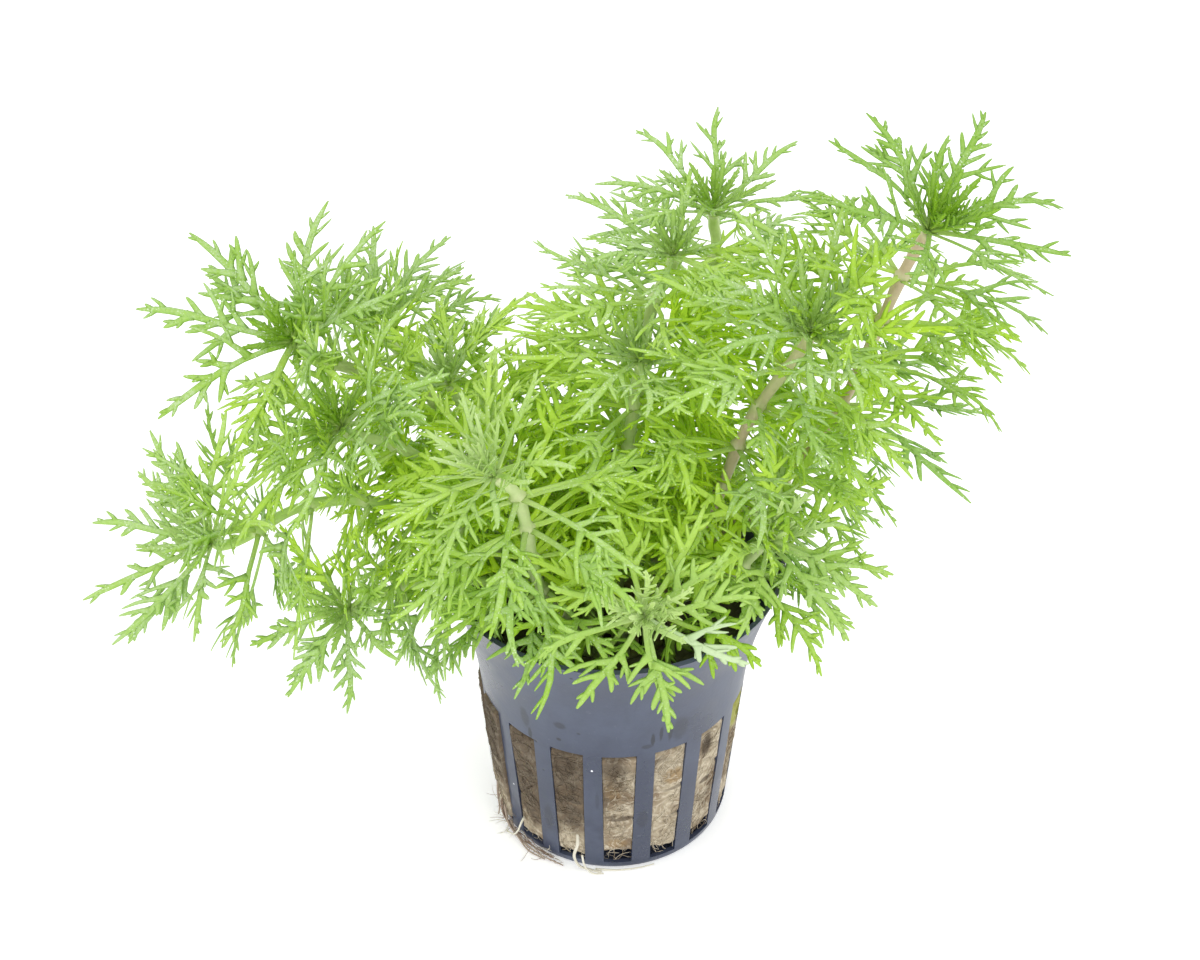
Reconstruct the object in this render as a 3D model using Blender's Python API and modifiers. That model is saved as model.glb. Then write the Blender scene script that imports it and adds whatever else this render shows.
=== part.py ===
"""Giant ambulia in a slotted net pot.

Fourteen stems stand in a rockwool plug inside a tapering plastic pot. Each stem carries rings of
divided leaves (whorls) at its nodes and a crown at its tip. Lengths below are in millimetres and
are turned into metres where a mesh is made. +Z is up, -Y is the front, and the origin is the centre
of the pot's flat base.
"""
import math
import random

import bmesh
import bpy
from mathutils import Matrix, Vector
from mathutils.bvhtree import BVHTree

MM = 0.001
GAP = 0.3

# Pot
POT_HEIGHT = 50.0
POT_BASE_RADIUS = 18.8
POT_TOP_RADIUS = 26.1
POT_TAPER = 0.0786
POT_FLARE_FROM = 28.0
POT_WALL = 1.0
POT_FLOOR = 1.4
POT_STEPS = 32
SLOT_COUNT = 16
SLOT_ANGLE_BOTTOM = 13.4
SLOT_ANGLE_TOP = 14.7
SLOT_BOTTOM = 1.5
SLOT_TOP = 27.7
SLOT_TURN = 2.5
FLOOR_SLOT_COUNT = 8
FLOOR_SLOT_INNER = 6.0
FLOOR_SLOT_OUTER = 14.0
FLOOR_SLOT_WIDTH = 3.2

# Rockwool plug
WOOL_TOP = 40.0
WOOL_SHOULDER = 5.0
WOOL_FOOT_RADIUS = 12.5
WELL_FLOOR = 12.0
WELL_RADIUS = 8.8
WELL_MOUTH = 12.5
WOOL_EDGE = 1.5
WOOL_FLARE_SLACK = 0.2
WOOL_STEPS = 18

# Stems
STEM_RADIUS = 0.95
STEM_SPACING = 10.0
FOOT_HEIGHT = WELL_FLOOR + GAP

# Leaf rings
COLLAR_INNER = STEM_RADIUS + 0.45
COLLAR_OUTER = COLLAR_INNER + 0.45
COLLAR_HALF = 0.8
HUB_RADIUS = 1.5
BUD_HEIGHT = 3.2
HUB_LEAF_HEIGHT = 1.0
HUB_RIM_HEIGHT = 1.3
HUB_TAPER = 0.3
YOUNG_REACH = 0.13
YOUNG_RISE = 0.3
BLADE_THICKNESS = 0.45

# Half the blade's width at a notch and at the lobes, as shares of the leaf's length
NOTCH_HALF = 0.022
NECK_HALF = 0.03

# For each pair of side lobes, as shares of the leaf's length: where the notch before it is, where its
# tips are, how far out they reach, and where the keel has its point
LONG_LEAF_LOBES = [(0.36, 0.62, 0.24, 0.50), (0.54, 0.88, 0.19, 0.70)]
PLAIN_LEAF_LOBES = [(0.40, 0.84, 0.22, 0.64)]

# How leaves stand: degrees from the stem, downward bend, and the ranges of length, roll and breadth
CROWN_PITCH = (58, 76)
CROWN_SAG = (0.0, 0.3)
WHORL_PITCH = (70, 88)
WHORL_SAG = (0.1, 0.6)
LENGTH_RANGE = (0.88, 1.05)
ROLL_RANGE = (-0.25, 0.25)
BREADTH_RANGE = (0.85, 1.1)

# How far a leaf may move to stand clear of its neighbours, and what it falls back to
TRIALS = 140
TURN_REACH = 24
PITCH_REACH = 65
SAG_REACH = 1.2
LOWEST_SAG = -0.8
SHORTEN_AFTER = 0.5
SHORTEN_BY = 0.9
STUB = 3.0
WALL_CLEARANCE = 0.35
WOOL_CLEARANCE = 1.0
SWELL = 0.3
PROBE_TOP_HALF = 0.95
PROBE_LOW_HALF = 0.8
PROBE_DEPTH = 0.9
CLEAR_OF_ALL_FROM = 0.02
CLEAR_OF_SIBLINGS_FROM = 0.12
TURN_PER_NODE = 25

# Each shoot: where its foot stands in the well (ring radius, angle in degrees), the points that its
# stem passes through above the wool, the way its crown faces, the crown's leaf count and length, and
# for each whorl its distance below the tip, leaf count and leaf length.
SHOOTS = {
    "a": dict(foot=(6.9, 157),
              route=[(-9, 4, 45), (-17, 6, 61), (-28.5, 9, 74), (-37, 11, 76), (-44, 12, 78)],
              tip=(-46.7, 11.5, 81), facing=(-0.25, -0.35, 0.9), crown=(8, 21.5), turn=24,
              whorls=[(7.5, 7, 21), (15.5, 7, 21)]),
    "b": dict(foot=(6.9, 133), route=[(-8, 9, 45), (-17, 16, 58), (-28, 21, 68), (-34, 22.5, 73)],
              tip=(-36.5, 22, 77.5), facing=(-0.1, -0.2, 1.0), crown=(8, 16), turn=28,
              whorls=[(7, 7, 18), (15, 7, 19)]),
    "c": dict(foot=(6.9, 181), route=[(-10, 0, 45), (-20, -1.5, 62), (-30, -3, 72.5)],
              tip=(-38.3, -4, 77), facing=(-0.55, -0.3, 0.8), crown=(8, 21), turn=16,
              whorls=[(8, 7, 22)]),
    "d": dict(foot=(6.9, 205),
              route=[(-10, -4, 45), (-22, -6, 60), (-35, -8, 67), (-45, -9.5, 67), (-53, -10, 62)],
              tip=(-57.8, -11, 61.8), facing=(-0.6, -0.45, 0.65), crown=(8, 18.5), turn=24,
              whorls=[(8, 7, 20), (17, 7, 21)]),
    "e": dict(foot=(6.9, 229), route=[(-9, -7, 45), (-20, -11, 54.5), (-29, -14, 57)],
              tip=(-37.8, -17, 54.5), facing=(-0.6, -0.6, 0.5), crown=(8, 14.5), turn=0,
              whorls=[(8.5, 7, 17)]),
    "f": dict(foot=(6.9, 38), route=[(7, 7, 45), (10.5, 13, 64), (14, 18, 82), (15, 20, 92)],
              tip=(14.5, 20.5, 97.5), facing=(-0.05, -0.15, 1.0), crown=(8, 16.5), turn=12,
              whorls=[(7, 7, 19), (14.5, 7, 21), (22, 7, 23)]),
    "g": dict(foot=(4.0, 78), route=[(1.5, 6, 45), (3, 8, 70), (5.8, 9.5, 90)],
              tip=(8.3, 10, 96.8), facing=(0.1, -0.25, 1.0), crown=(7, 15), turn=32,
              whorls=[(7.5, 7, 18), (15.5, 7, 21)]),
    "h": dict(foot=(6.9, 0), route=[(10, 0, 45), (24, 2, 61), (32, 3.5, 73), (36.5, 4, 86), (40, 4, 98)],
              tip=(42.7, 4, 104.5), facing=(0.35, -0.15, 0.95), crown=(8, 19.5), turn=8,
              whorls=[(7.5, 7, 20), (15, 7, 21), (22, 7, 22), (30, 7, 22)]),
    "i": dict(foot=(3.6, 342), route=[(7, -1.5, 45), (15, -2, 62), (19, -2, 76), (23.5, -2, 85)],
              tip=(26.8, -3, 92.4), facing=(0.15, -0.3, 0.95), crown=(8, 19), turn=8,
              whorls=[(7, 7, 22), (14, 7, 22), (22, 7, 22)]),
    "j": dict(foot=(3.6, 125), route=[(0.5, 2, 48), (2, 2, 66), (3, 2, 79)],
              tip=(3.6, 1.6, 84.6), facing=(-0.05, -0.2, 1.0), crown=(8, 19), turn=28,
              whorls=[(8, 7, 21)]),
    "k": dict(foot=(6.9, 254), route=[(-7, -9, 45), (-11, -13, 56), (-12.4, -14.5, 68), (-13.6, -15, 74)],
              tip=(-16.4, -15.5, 77.5), facing=(-0.55, -0.2, 0.8), crown=(8, 17), turn=0,
              whorls=[(5, 7, 23), (11, 7, 22), (17, 7, 22)]),
    "l": dict(foot=(6.9, 283), route=[(2.5, -9, 45), (3.4, -15, 53)],
              tip=(4.2, -21, 56.5), facing=(0.05, -0.7, 0.7), crown=(8, 17), turn=10,
              whorls=[(5.5, 7, 19)]),
    "m": dict(foot=(6.9, 322), route=[(9, -5.5, 45), (17, -7.5, 52), (20.5, -8, 57)],
              tip=(22.3, -9, 60.5), facing=(0.3, -0.5, 0.8), crown=(8, 19), turn=44,
              whorls=[(7, 7, 20)]),
    "o": dict(foot=(3.6, 198), route=[(-5, 1.5, 45), (-14, 3.5, 62), (-20.5, 5, 72)],
              tip=(-23.8, 6, 77.6), facing=(-0.3, -0.1, 1.0), crown=(7, 16), turn=8,
              whorls=[(8, 7, 19)]),
}

# The roots' centre lines, as (angle, distance from the pot's middle, height), from the slot that each
# comes out of down to the surface that the pot stands on.
ROOTS = {
    "root_front": [(-107, 18.9, 7.4), (-106, 20.2, 6.2), (-107.5, 20.3, 3.6), (-105.5, 20.0, 1.2),
                   (-101, 19.9, 0.6), (-95, 20.2, 0.6)],
    "root_left": [(-156, 18.8, 6.6), (-154, 19.9, 4.6), (-149, 19.7, 1.6), (-141, 19.5, 0.8),
                  (-130, 19.5, 0.7), (-119, 19.7, 0.6)],
}
ROOT_RADIUS = 0.32
ROOT_SPACING = 2.4


def clear_scene():
    for thing in list(bpy.data.objects):
        bpy.data.objects.remove(thing, do_unlink=True)


def make_collection(name):
    collection = bpy.data.collections.new(name)
    bpy.context.scene.collection.children.link(collection)
    return collection


def make_material(name, colour, roughness, metallic=0.0):
    material = bpy.data.materials.new(name)
    material.use_nodes = True
    shader = material.node_tree.nodes["Principled BSDF"]
    shader.inputs["Base Color"].default_value = (*colour, 1.0)
    shader.inputs["Roughness"].default_value = roughness
    shader.inputs["Metallic"].default_value = metallic
    material.diffuse_color = (*colour, 1.0)
    return material


def add_object(name, mesh, collection, material):
    thing = bpy.data.objects.new(name, mesh)
    collection.objects.link(thing)
    if material is not None:
        mesh.materials.append(material)
    return thing


def mesh_from(name, points, faces):
    """A closed mesh from points in millimetres, with its faces turned outward."""
    mesh = bpy.data.meshes.new(name)
    mesh.from_pydata([tuple(p * MM) for p in points], [], faces)
    shape = bmesh.new()
    shape.from_mesh(mesh)
    bmesh.ops.recalc_face_normals(shape, faces=shape.faces)
    shape.to_mesh(mesh)
    shape.free()
    return mesh


def turned(name, profile, steps, collection, material):
    """A profile of (radius, height) points turned once round the Z axis."""
    mesh = bpy.data.meshes.new(name)
    points = [(r * MM, 0.0, z * MM) for r, z in profile]
    edges = [(i, i + 1) for i in range(len(points) - 1)]
    mesh.from_pydata(points, edges, [])
    thing = add_object(name, mesh, collection, material)
    screw = thing.modifiers.new("turn", "SCREW")
    screw.angle = math.tau
    screw.steps = steps
    screw.render_steps = steps
    screw.use_merge_vertices = True
    screw.merge_threshold = 0.00001
    screw.use_smooth_shade = False
    return thing


def pot_radius(height):
    """The pot's outer radius: a straight taper, plus a flare that grows as a square near the rim."""
    flare = (height - POT_FLARE_FROM) / (POT_HEIGHT - POT_FLARE_FROM)
    most = POT_TOP_RADIUS - POT_BASE_RADIUS - POT_TAPER * POT_HEIGHT
    return POT_BASE_RADIUS + POT_TAPER * height + most * max(0.0, flare) ** 2


def tapered_block(shape, matrix, size, top_scale):
    """A box of the given size on the matrix's origin, its top face widened along its Y."""
    made = bmesh.ops.create_cube(shape, size=1.0)
    for vert in made["verts"]:
        wide = top_scale if vert.co.z > 0 else 1.0
        vert.co = Vector((vert.co.x * size[0], vert.co.y * size[1] * wide, vert.co.z * size[2]))
        vert.co = matrix @ vert.co


def build_pot(parts, cutters, material):
    levels = [POT_FLARE_FROM, (POT_FLARE_FROM + POT_HEIGHT) / 2, POT_HEIGHT]
    profile = [(0.0, POT_FLOOR)]
    profile += [(pot_radius(z) - POT_WALL, z) for z in [POT_FLOOR] + levels]
    profile += [(pot_radius(z), z) for z in reversed(levels)]
    profile += [(POT_BASE_RADIUS, 0.0), (0.0, 0.0)]
    pot = turned("net_pot", profile, POT_STEPS, parts, material)
    pot.rotation_euler.z = math.radians(SLOT_TURN)

    shape = bmesh.new()
    height = SLOT_TOP - SLOT_BOTTOM
    middle = (SLOT_TOP + SLOT_BOTTOM) / 2
    bottom_width = 2 * pot_radius(SLOT_BOTTOM) * math.sin(math.radians(SLOT_ANGLE_BOTTOM / 2))
    top_width = 2 * pot_radius(SLOT_TOP) * math.sin(math.radians(SLOT_ANGLE_TOP / 2))
    for i in range(SLOT_COUNT):
        turn = Matrix.Rotation(math.radians(-90 + 360 * i / SLOT_COUNT), 4, "Z")
        place = turn @ Matrix.Translation(Vector((pot_radius(middle), 0, middle)) * MM)
        size = [6.5 * MM, bottom_width * MM, height * MM]
        tapered_block(shape, place, size, top_width / bottom_width)
    for i in range(FLOOR_SLOT_COUNT):
        turn = Matrix.Rotation(math.radians(-90 + 360 * (i + 0.5) / FLOOR_SLOT_COUNT), 4, "Z")
        reach = (FLOOR_SLOT_INNER + FLOOR_SLOT_OUTER) / 2
        place = turn @ Matrix.Translation(Vector((reach, 0, POT_FLOOR / 2)) * MM)
        length = FLOOR_SLOT_OUTER - FLOOR_SLOT_INNER
        tapered_block(shape, place, [length * MM, FLOOR_SLOT_WIDTH * MM, POT_FLOOR * 3 * MM], 1.0)
    mesh = bpy.data.meshes.new("slot_cutters")
    shape.to_mesh(mesh)
    shape.free()
    cutter = add_object("slot_cutters", mesh, cutters, None)
    cutter.rotation_euler.z = math.radians(SLOT_TURN)
    cutter.hide_render = True
    cutter.display_type = "WIRE"
    cut = pot.modifiers.new("slots", "BOOLEAN")
    cut.operation = "DIFFERENCE"
    cut.solver = "EXACT"
    cut.object = cutter
    return pot


def build_wool(parts, material):
    side = POT_WALL + GAP
    profile = [
        (0.0, WELL_FLOOR),
        (WELL_RADIUS, WELL_FLOOR),
        (WELL_RADIUS, WOOL_TOP - 6),
        (WELL_MOUTH, WOOL_TOP),
        (pot_radius(WOOL_TOP) - side - WOOL_EDGE, WOOL_TOP),
        (pot_radius(WOOL_TOP - WOOL_EDGE) - side - WOOL_FLARE_SLACK, WOOL_TOP - WOOL_EDGE),
        (pot_radius(POT_FLARE_FROM) - side, POT_FLARE_FROM),
        (pot_radius(WOOL_SHOULDER) - side, WOOL_SHOULDER),
        (WOOL_FOOT_RADIUS, POT_FLOOR + GAP),
        (0.0, POT_FLOOR + GAP),
    ]
    return turned("rockwool_plug", profile, WOOL_STEPS, parts, material)


def smooth_route(points, spacing):
    """Points about one spacing apart on a smooth curve through the given points.

    Between two points the curve is a cubic whose end slopes are half the span of the neighbours.
    """
    ends = [points[0] * 2 - points[1]] + points + [points[-1] * 2 - points[-2]]
    out = [points[0].copy()]
    for i in range(1, len(ends) - 2):
        p0, p1, p2, p3 = ends[i - 1:i + 3]
        steps = max(1, round((p2 - p1).length / spacing))
        for s in range(1, steps + 1):
            t = s / steps
            a = p1 * 2
            b = (p2 - p0) * t
            c = (p0 * 2 - p1 * 5 + p2 * 4 - p3) * t * t
            d = (p1 * 3 - p0 - p2 * 3 + p3) * t * t * t
            out.append((a + b + c + d) * 0.5)
    return out


def from_polar(angle, radius, height):
    turn = math.radians(angle)
    return Vector((radius * math.cos(turn), radius * math.sin(turn), height))


def stem_points(shoot):
    """A stem's centre line: straight up the well, along its route, and straight into its tip."""
    radius, angle = shoot["foot"]
    foot = from_polar(angle, radius, FOOT_HEIGHT)
    collar = from_polar(angle, radius * 1.03, WOOL_TOP - 3)
    tip = Vector(shoot["tip"])
    facing = Vector(shoot["facing"]).normalized()
    route = [collar] + [Vector(p) for p in shoot["route"]] + [tip]
    points = [foot] + smooth_route(route, STEM_SPACING)
    straight = [p for p in points[:-1] if (p - tip).length > 4.5]
    straight.append(tip - facing * 2.0)
    straight.append(tip)
    return straight


def point_below_tip(points, distance):
    """The place and the upward direction on a polyline, a given distance back from its end."""
    left = distance
    for i in range(len(points) - 1, 0, -1):
        span = points[i] - points[i - 1]
        if span.length >= left:
            return points[i] - span.normalized() * left, span.normalized()
        left -= span.length
    return points[0], (points[1] - points[0]).normalized()


def build_tube(name, points, radius, collection, material, roundness):
    """A round tube along a polyline, as a bevelled curve with filled caps."""
    curve = bpy.data.curves.new(name, "CURVE")
    curve.dimensions = "3D"
    curve.bevel_depth = radius * MM
    curve.bevel_resolution = roundness
    curve.use_fill_caps = True
    spline = curve.splines.new("POLY")
    spline.points.add(len(points) - 1)
    for spot, p in zip(spline.points, points):
        spot.co = (p.x * MM, p.y * MM, p.z * MM, 1.0)
    tube = bpy.data.objects.new(name, curve)
    curve.materials.append(material)
    collection.objects.link(tube)
    return tube


def ring_axes(direction):
    """Two unit vectors across a direction, the first one level, so that (u, v, direction) turn right."""
    side = Vector((0, 0, 1)).cross(direction)
    if side.length < 0.05:
        side = Vector((1, 0, 0))
    u = side.normalized()
    v = direction.cross(u).normalized()
    return u, v


class Leaf:
    """One leaf: an axis curve that starts at the ring and bends down, and a blade across it."""

    def __init__(self, start, outward, axis, pitch, sag, length, roll, pairs, spread):
        first = (axis * math.cos(pitch) + outward * math.sin(pitch)).normalized()
        second = (first + Vector((0, 0, -1)) * sag).normalized()
        self.start = start
        self.knee = start + first * (length * 0.5)
        self.end = self.knee + second * (length * 0.5)
        self.side = Matrix.Rotation(roll, 3, first) @ axis.cross(outward).normalized()
        self.length = length
        self.pairs = pairs
        self.spread = spread

    def at(self, t):
        a = self.start * (1 - t) ** 2
        b = self.knee * (2 * t * (1 - t))
        return a + b + self.end * t ** 2

    def across(self, t):
        slope = ((self.knee - self.start) * (1 - t) + (self.end - self.knee) * t).normalized()
        side = (self.side - slope * self.side.dot(slope)).normalized()
        return side, slope.cross(side)

    def rows(self):
        """The lobe pairs' places along the leaf, with their reach in millimetres."""
        lobes = LONG_LEAF_LOBES if self.pairs == 2 else PLAIN_LEAF_LOBES
        across = self.length * self.spread
        return [(notch, tip, reach * across, keel) for notch, tip, reach, keel in lobes]


def leaf_surface(leaf, base, pad=0.0):
    """Points and faces of a blade that starts from four base points.

    The base is (left, right, lower left, lower right). The upper side is a flat strip with a pointed
    lobe on each side for each row, and the lower side rises from those edges to a keel line.
    """
    points = []
    faces = []

    def put(point):
        points.append(point)
        return len(points) - 1

    left, right, low_left, low_right = base
    keel = None
    for notch, tip, reach, keel_at in leaf.rows():
        side, upper = leaf.across(notch)
        half = NOTCH_HALF * leaf.length + pad
        new_left = put(leaf.at(notch) + side * half + upper * pad)
        new_right = put(leaf.at(notch) - side * half + upper * pad)
        side, upper = leaf.across(keel_at)
        new_keel = put(leaf.at(keel_at) - upper * (BLADE_THICKNESS + pad))
        faces.append((left, right, new_right, new_left))
        if keel is None:
            faces.append((low_left, left, new_left))
            faces.append((low_left, new_left, new_keel))
            faces.append((right, low_right, new_right))
            faces.append((new_right, low_right, new_keel))
            faces.append((low_right, low_left, new_keel))
        else:
            faces.append((left, new_left, keel))
            faces.append((keel, new_left, new_keel))
            faces.append((new_right, right, keel))
            faces.append((new_right, keel, new_keel))
        side, upper = leaf.across(tip)
        tip_left = put(leaf.at(tip) + side * (reach + pad))
        tip_right = put(leaf.at(tip) - side * (reach + pad))
        side, upper = leaf.across(keel_at)
        half = NECK_HALF * leaf.length + pad
        next_left = put(leaf.at(keel_at) + side * half + upper * pad)
        next_right = put(leaf.at(keel_at) - side * half + upper * pad)
        faces.append((new_left, new_right, next_right, next_left))
        faces.append((new_left, next_left, tip_left))
        faces.append((new_right, tip_right, next_right))
        faces.append((new_left, tip_left, new_keel))
        faces.append((tip_left, next_left, new_keel))
        faces.append((tip_right, new_right, new_keel))
        faces.append((next_right, tip_right, new_keel))
        left, right, keel = next_left, next_right, new_keel
    point = put(leaf.at(1.0) + (leaf.at(1.0) - leaf.at(0.97)).normalized() * pad)
    faces.append((left, right, point))
    faces.append((left, point, keel))
    faces.append((right, keel, point))
    return points, faces


def shifted(faces, offset, base_map):
    """Faces renumbered: negative numbers name the base points, the others move by the offset."""
    return [tuple(base_map[n] if n < 0 else n + offset for n in face) for face in faces]


def probe(leaf, begin):
    """A slightly swollen copy of a leaf from a share of its length on, to find what it runs into."""
    side, upper = leaf.across(begin)
    spot = leaf.at(begin)
    corners = [
        spot + side * PROBE_TOP_HALF + upper * SWELL,
        spot - side * PROBE_TOP_HALF + upper * SWELL,
        spot + side * PROBE_LOW_HALF - upper * PROBE_DEPTH,
        spot - side * PROBE_LOW_HALF - upper * PROBE_DEPTH,
    ]
    points, faces = leaf_surface(leaf, (-1, -2, -3, -4), SWELL)
    faces = shifted(faces, len(corners), {-1: 0, -2: 1, -3: 2, -4: 3})
    return obstacle(corners + points, faces)


def obstacle(points, faces):
    low = Vector(tuple(min(p[i] for p in points) for i in range(3)))
    high = Vector(tuple(max(p[i] for p in points) for i in range(3)))
    return low, high, BVHTree.FromPolygons([tuple(p) for p in points], faces)


def meets(one, other):
    for i in range(3):
        if one[0][i] > other[1][i] or other[0][i] > one[1][i]:
            return False
    return bool(one[2].overlap(other[2]))


def cone_wall(radii, heights, steps=32):
    """A plain ring wall between circles, as points and faces."""
    points = []
    for radius, height in zip(radii, heights):
        for i in range(steps):
            a = math.tau * i / steps
            points.append(Vector((radius * math.cos(a), radius * math.sin(a), height)))
    faces = []
    for low in range(0, (len(radii) - 1) * steps, steps):
        for i in range(steps):
            j = (i + 1) % steps
            faces.append((low + i, low + j, low + steps + j, low + steps + i))
    return points, faces


def tube_wall(points, radius, sides=6):
    """A tube with closed ends along a polyline, as points and faces."""
    rings = []
    for i, p in enumerate(points):
        ahead = points[min(i + 1, len(points) - 1)] - points[max(i - 1, 0)]
        u, v = ring_axes(ahead.normalized())
        for k in range(sides):
            a = math.tau * k / sides
            rings.append(p + u * (radius * math.cos(a)) + v * (radius * math.sin(a)))
    faces = []
    for i in range(len(points) - 1):
        for k in range(sides):
            n = (k + 1) % sides
            faces.append((i * sides + k, i * sides + n, (i + 1) * sides + n, (i + 1) * sides + k))
    last = (len(points) - 1) * sides
    faces.append(tuple(range(sides)))
    faces.append(tuple(range(last, last + sides)))
    return rings, faces


def fixed_obstacles(stems):
    """What no leaf may run into: the pot's wall, the wool's top and every stem."""
    wall = WALL_CLEARANCE
    out = [obstacle(*cone_wall(
        (pot_radius(0) + wall, POT_TOP_RADIUS + wall, POT_TOP_RADIUS + wall,
         POT_TOP_RADIUS - POT_WALL - wall, pot_radius(0) - POT_WALL - wall),
        (0, POT_HEIGHT, POT_HEIGHT + wall, POT_HEIGHT + wall, 0)))]
    level = WOOL_TOP + WOOL_CLEARANCE
    out.append(obstacle(*cone_wall((0.01, pot_radius(WOOL_TOP)), (level, level))))
    for points in stems.values():
        out.append(obstacle(*tube_wall(points, STEM_RADIUS + wall)))
    return out


class Ring:
    """The leaves that grow from one node of a stem, or from its tip."""

    def __init__(self, name, place, axis, count, length, turn, order):
        self.name = name
        self.place = place
        self.axis = axis
        self.u, self.v = ring_axes(axis)
        self.count = count
        self.length = length
        self.turn = math.radians(turn)
        self.order = order
        self.leaves = []

    def outward(self, angle):
        return self.u * math.cos(angle) + self.v * math.sin(angle)

    def edge_angle(self, i):
        return self.turn + math.tau * (i - 0.5) / self.count

    def body(self):
        """The ring's own body, swollen, as an obstacle for other rings' leaves."""
        low, high = -COLLAR_HALF - SWELL, COLLAR_HALF + SWELL
        radius = COLLAR_OUTER + STUB + SWELL
        if self.order == 0:
            low, high = 0.0, self.length * YOUNG_RISE + SWELL
            radius = self.length * YOUNG_REACH + 2 * SWELL
        ends = [self.place + self.axis * low, self.place + self.axis * high]
        return obstacle(*tube_wall(ends, radius, 8))


def grow(rings, stems):
    """Gives every ring its leaves, each clear of the pot, the stems and the leaves before it."""
    dice = random.Random(7)
    standing = fixed_obstacles(stems)
    bodies = {ring.name: ring.body() for ring in rings}
    for ring in rings:
        others = standing + [body for name, body in bodies.items() if name != ring.name]
        siblings = []
        crown = ring.order == 0
        for i in range(ring.count):
            angle = ring.turn + math.tau * i / ring.count
            pitch = math.radians(dice.uniform(*(CROWN_PITCH if crown else WHORL_PITCH)))
            sag = dice.uniform(*(CROWN_SAG if crown else WHORL_SAG))
            length = ring.length * dice.uniform(*LENGTH_RANGE)
            roll = dice.uniform(*ROLL_RANGE)
            spread = dice.uniform(*BREADTH_RANGE)
            moves = [[dice.uniform(-1, 1) for _ in range(3)] for _ in range(TRIALS)]
            pairs = 2 if crown and i % 3 == 0 else 1
            chosen = None
            for trial, (da, dp, ds) in enumerate(moves):
                reach = trial / TRIALS
                a = angle + da * reach * math.radians(TURN_REACH)
                p = pitch + dp * reach * math.radians(PITCH_REACH)
                s = max(LOWEST_SAG, sag + ds * reach * SAG_REACH)
                size = length * (1.0 - SHORTEN_BY * max(0.0, reach - SHORTEN_AFTER))
                out = ring.outward(a)
                start = ring.place + out * COLLAR_OUTER
                if crown:
                    start = ring.place + out * HUB_RADIUS + ring.axis * HUB_LEAF_HEIGHT
                leaf = Leaf(start, out, ring.axis, p, s, size, roll, pairs, spread)
                whole = probe(leaf, CLEAR_OF_ALL_FROM)
                if any(meets(whole, other) for other in others):
                    continue
                blade = probe(leaf, CLEAR_OF_SIBLINGS_FROM)
                if any(meets(blade, sibling) for sibling in siblings):
                    continue
                chosen = leaf
                break
            if chosen is None:
                out = ring.outward(angle)
                start = ring.place + out * COLLAR_OUTER
                chosen = Leaf(start, out, ring.axis, math.pi / 2, 0.0, STUB, 0.0, 1, 1.0)
            ring.leaves.append(chosen)
            siblings.append(probe(chosen, CLEAR_OF_SIBLINGS_FROM))
            standing.append(probe(chosen, CLEAR_OF_ALL_FROM))


def whorl_mesh(ring):
    """A collar round the stem with a leaf grown from each sector of its outside."""
    points = []
    faces = []
    count = ring.count
    for i in range(count):
        out = ring.outward(ring.edge_angle(i))
        points.append(ring.place + out * COLLAR_INNER + ring.axis * COLLAR_HALF)
        points.append(ring.place + out * COLLAR_INNER - ring.axis * COLLAR_HALF)
        points.append(ring.place + out * COLLAR_OUTER)
    for i, leaf in enumerate(ring.leaves):
        j = (i + 1) % count
        top, low, rim = 3 * i, 3 * i + 1, 3 * i + 2
        next_top, next_low, next_rim = 3 * j, 3 * j + 1, 3 * j + 2
        faces.append((top, next_top, next_low, low))
        faces.append((top, rim, next_rim, next_top))
        made, blade = leaf_surface(leaf, (-1, -2, -3, -4))
        base = {-1: next_rim, -2: rim, -3: next_low, -4: low}
        faces += shifted(blade, len(points), base)
        points += made
    return mesh_from(ring.name, points, faces)


def crown_mesh(ring):
    """A bud with a leaf grown from each sector of its foot, and short young leaves round its top."""
    points = []
    faces = []
    count = ring.count
    for i in range(count):
        out = ring.outward(ring.edge_angle(i))
        points.append(ring.place + out * HUB_RADIUS + ring.axis * HUB_RIM_HEIGHT)
        points.append(ring.place + out * (HUB_RADIUS - HUB_TAPER) + ring.axis * GAP)
    foot = len(points)
    points.append(ring.place + ring.axis * GAP)
    points.append(ring.place + ring.axis * BUD_HEIGHT)
    for i, leaf in enumerate(ring.leaves):
        j = (i + 1) % count
        rim, low, next_rim, next_low = 2 * i, 2 * i + 1, 2 * j, 2 * j + 1
        faces.append((foot, next_low, low))
        if i % 2:
            a = ring.turn + math.tau * i / count
            reach = ring.outward(a) * (ring.length * YOUNG_REACH)
            points.append(ring.place + reach + ring.axis * (ring.length * YOUNG_RISE))
            young = len(points) - 1
            faces.append((foot + 1, rim, young))
            faces.append((rim, next_rim, young))
            faces.append((next_rim, foot + 1, young))
        else:
            faces.append((foot + 1, rim, next_rim))
        made, blade = leaf_surface(leaf, (-1, -2, -3, -4))
        base = {-1: next_rim, -2: rim, -3: next_low, -4: low}
        faces += shifted(blade, len(points), base)
        points += made
    return mesh_from(ring.name, points, faces)


def lay_out_rings(stems):
    rings = []
    for key, shoot in SHOOTS.items():
        count, length = shoot["crown"]
        axis = Vector(shoot["facing"]).normalized()
        rings.append(Ring("crown_" + key, stems[key][-1], axis, count, length, shoot["turn"], 0))
    for key, shoot in SHOOTS.items():
        for order, (distance, count, length) in enumerate(shoot["whorls"], 1):
            place, axis = point_below_tip(stems[key], distance)
            turn = shoot["turn"] + TURN_PER_NODE * order
            rings.append(Ring("whorl_%s%d" % (key, order), place, axis, count, length, turn, order))
    return rings


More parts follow.
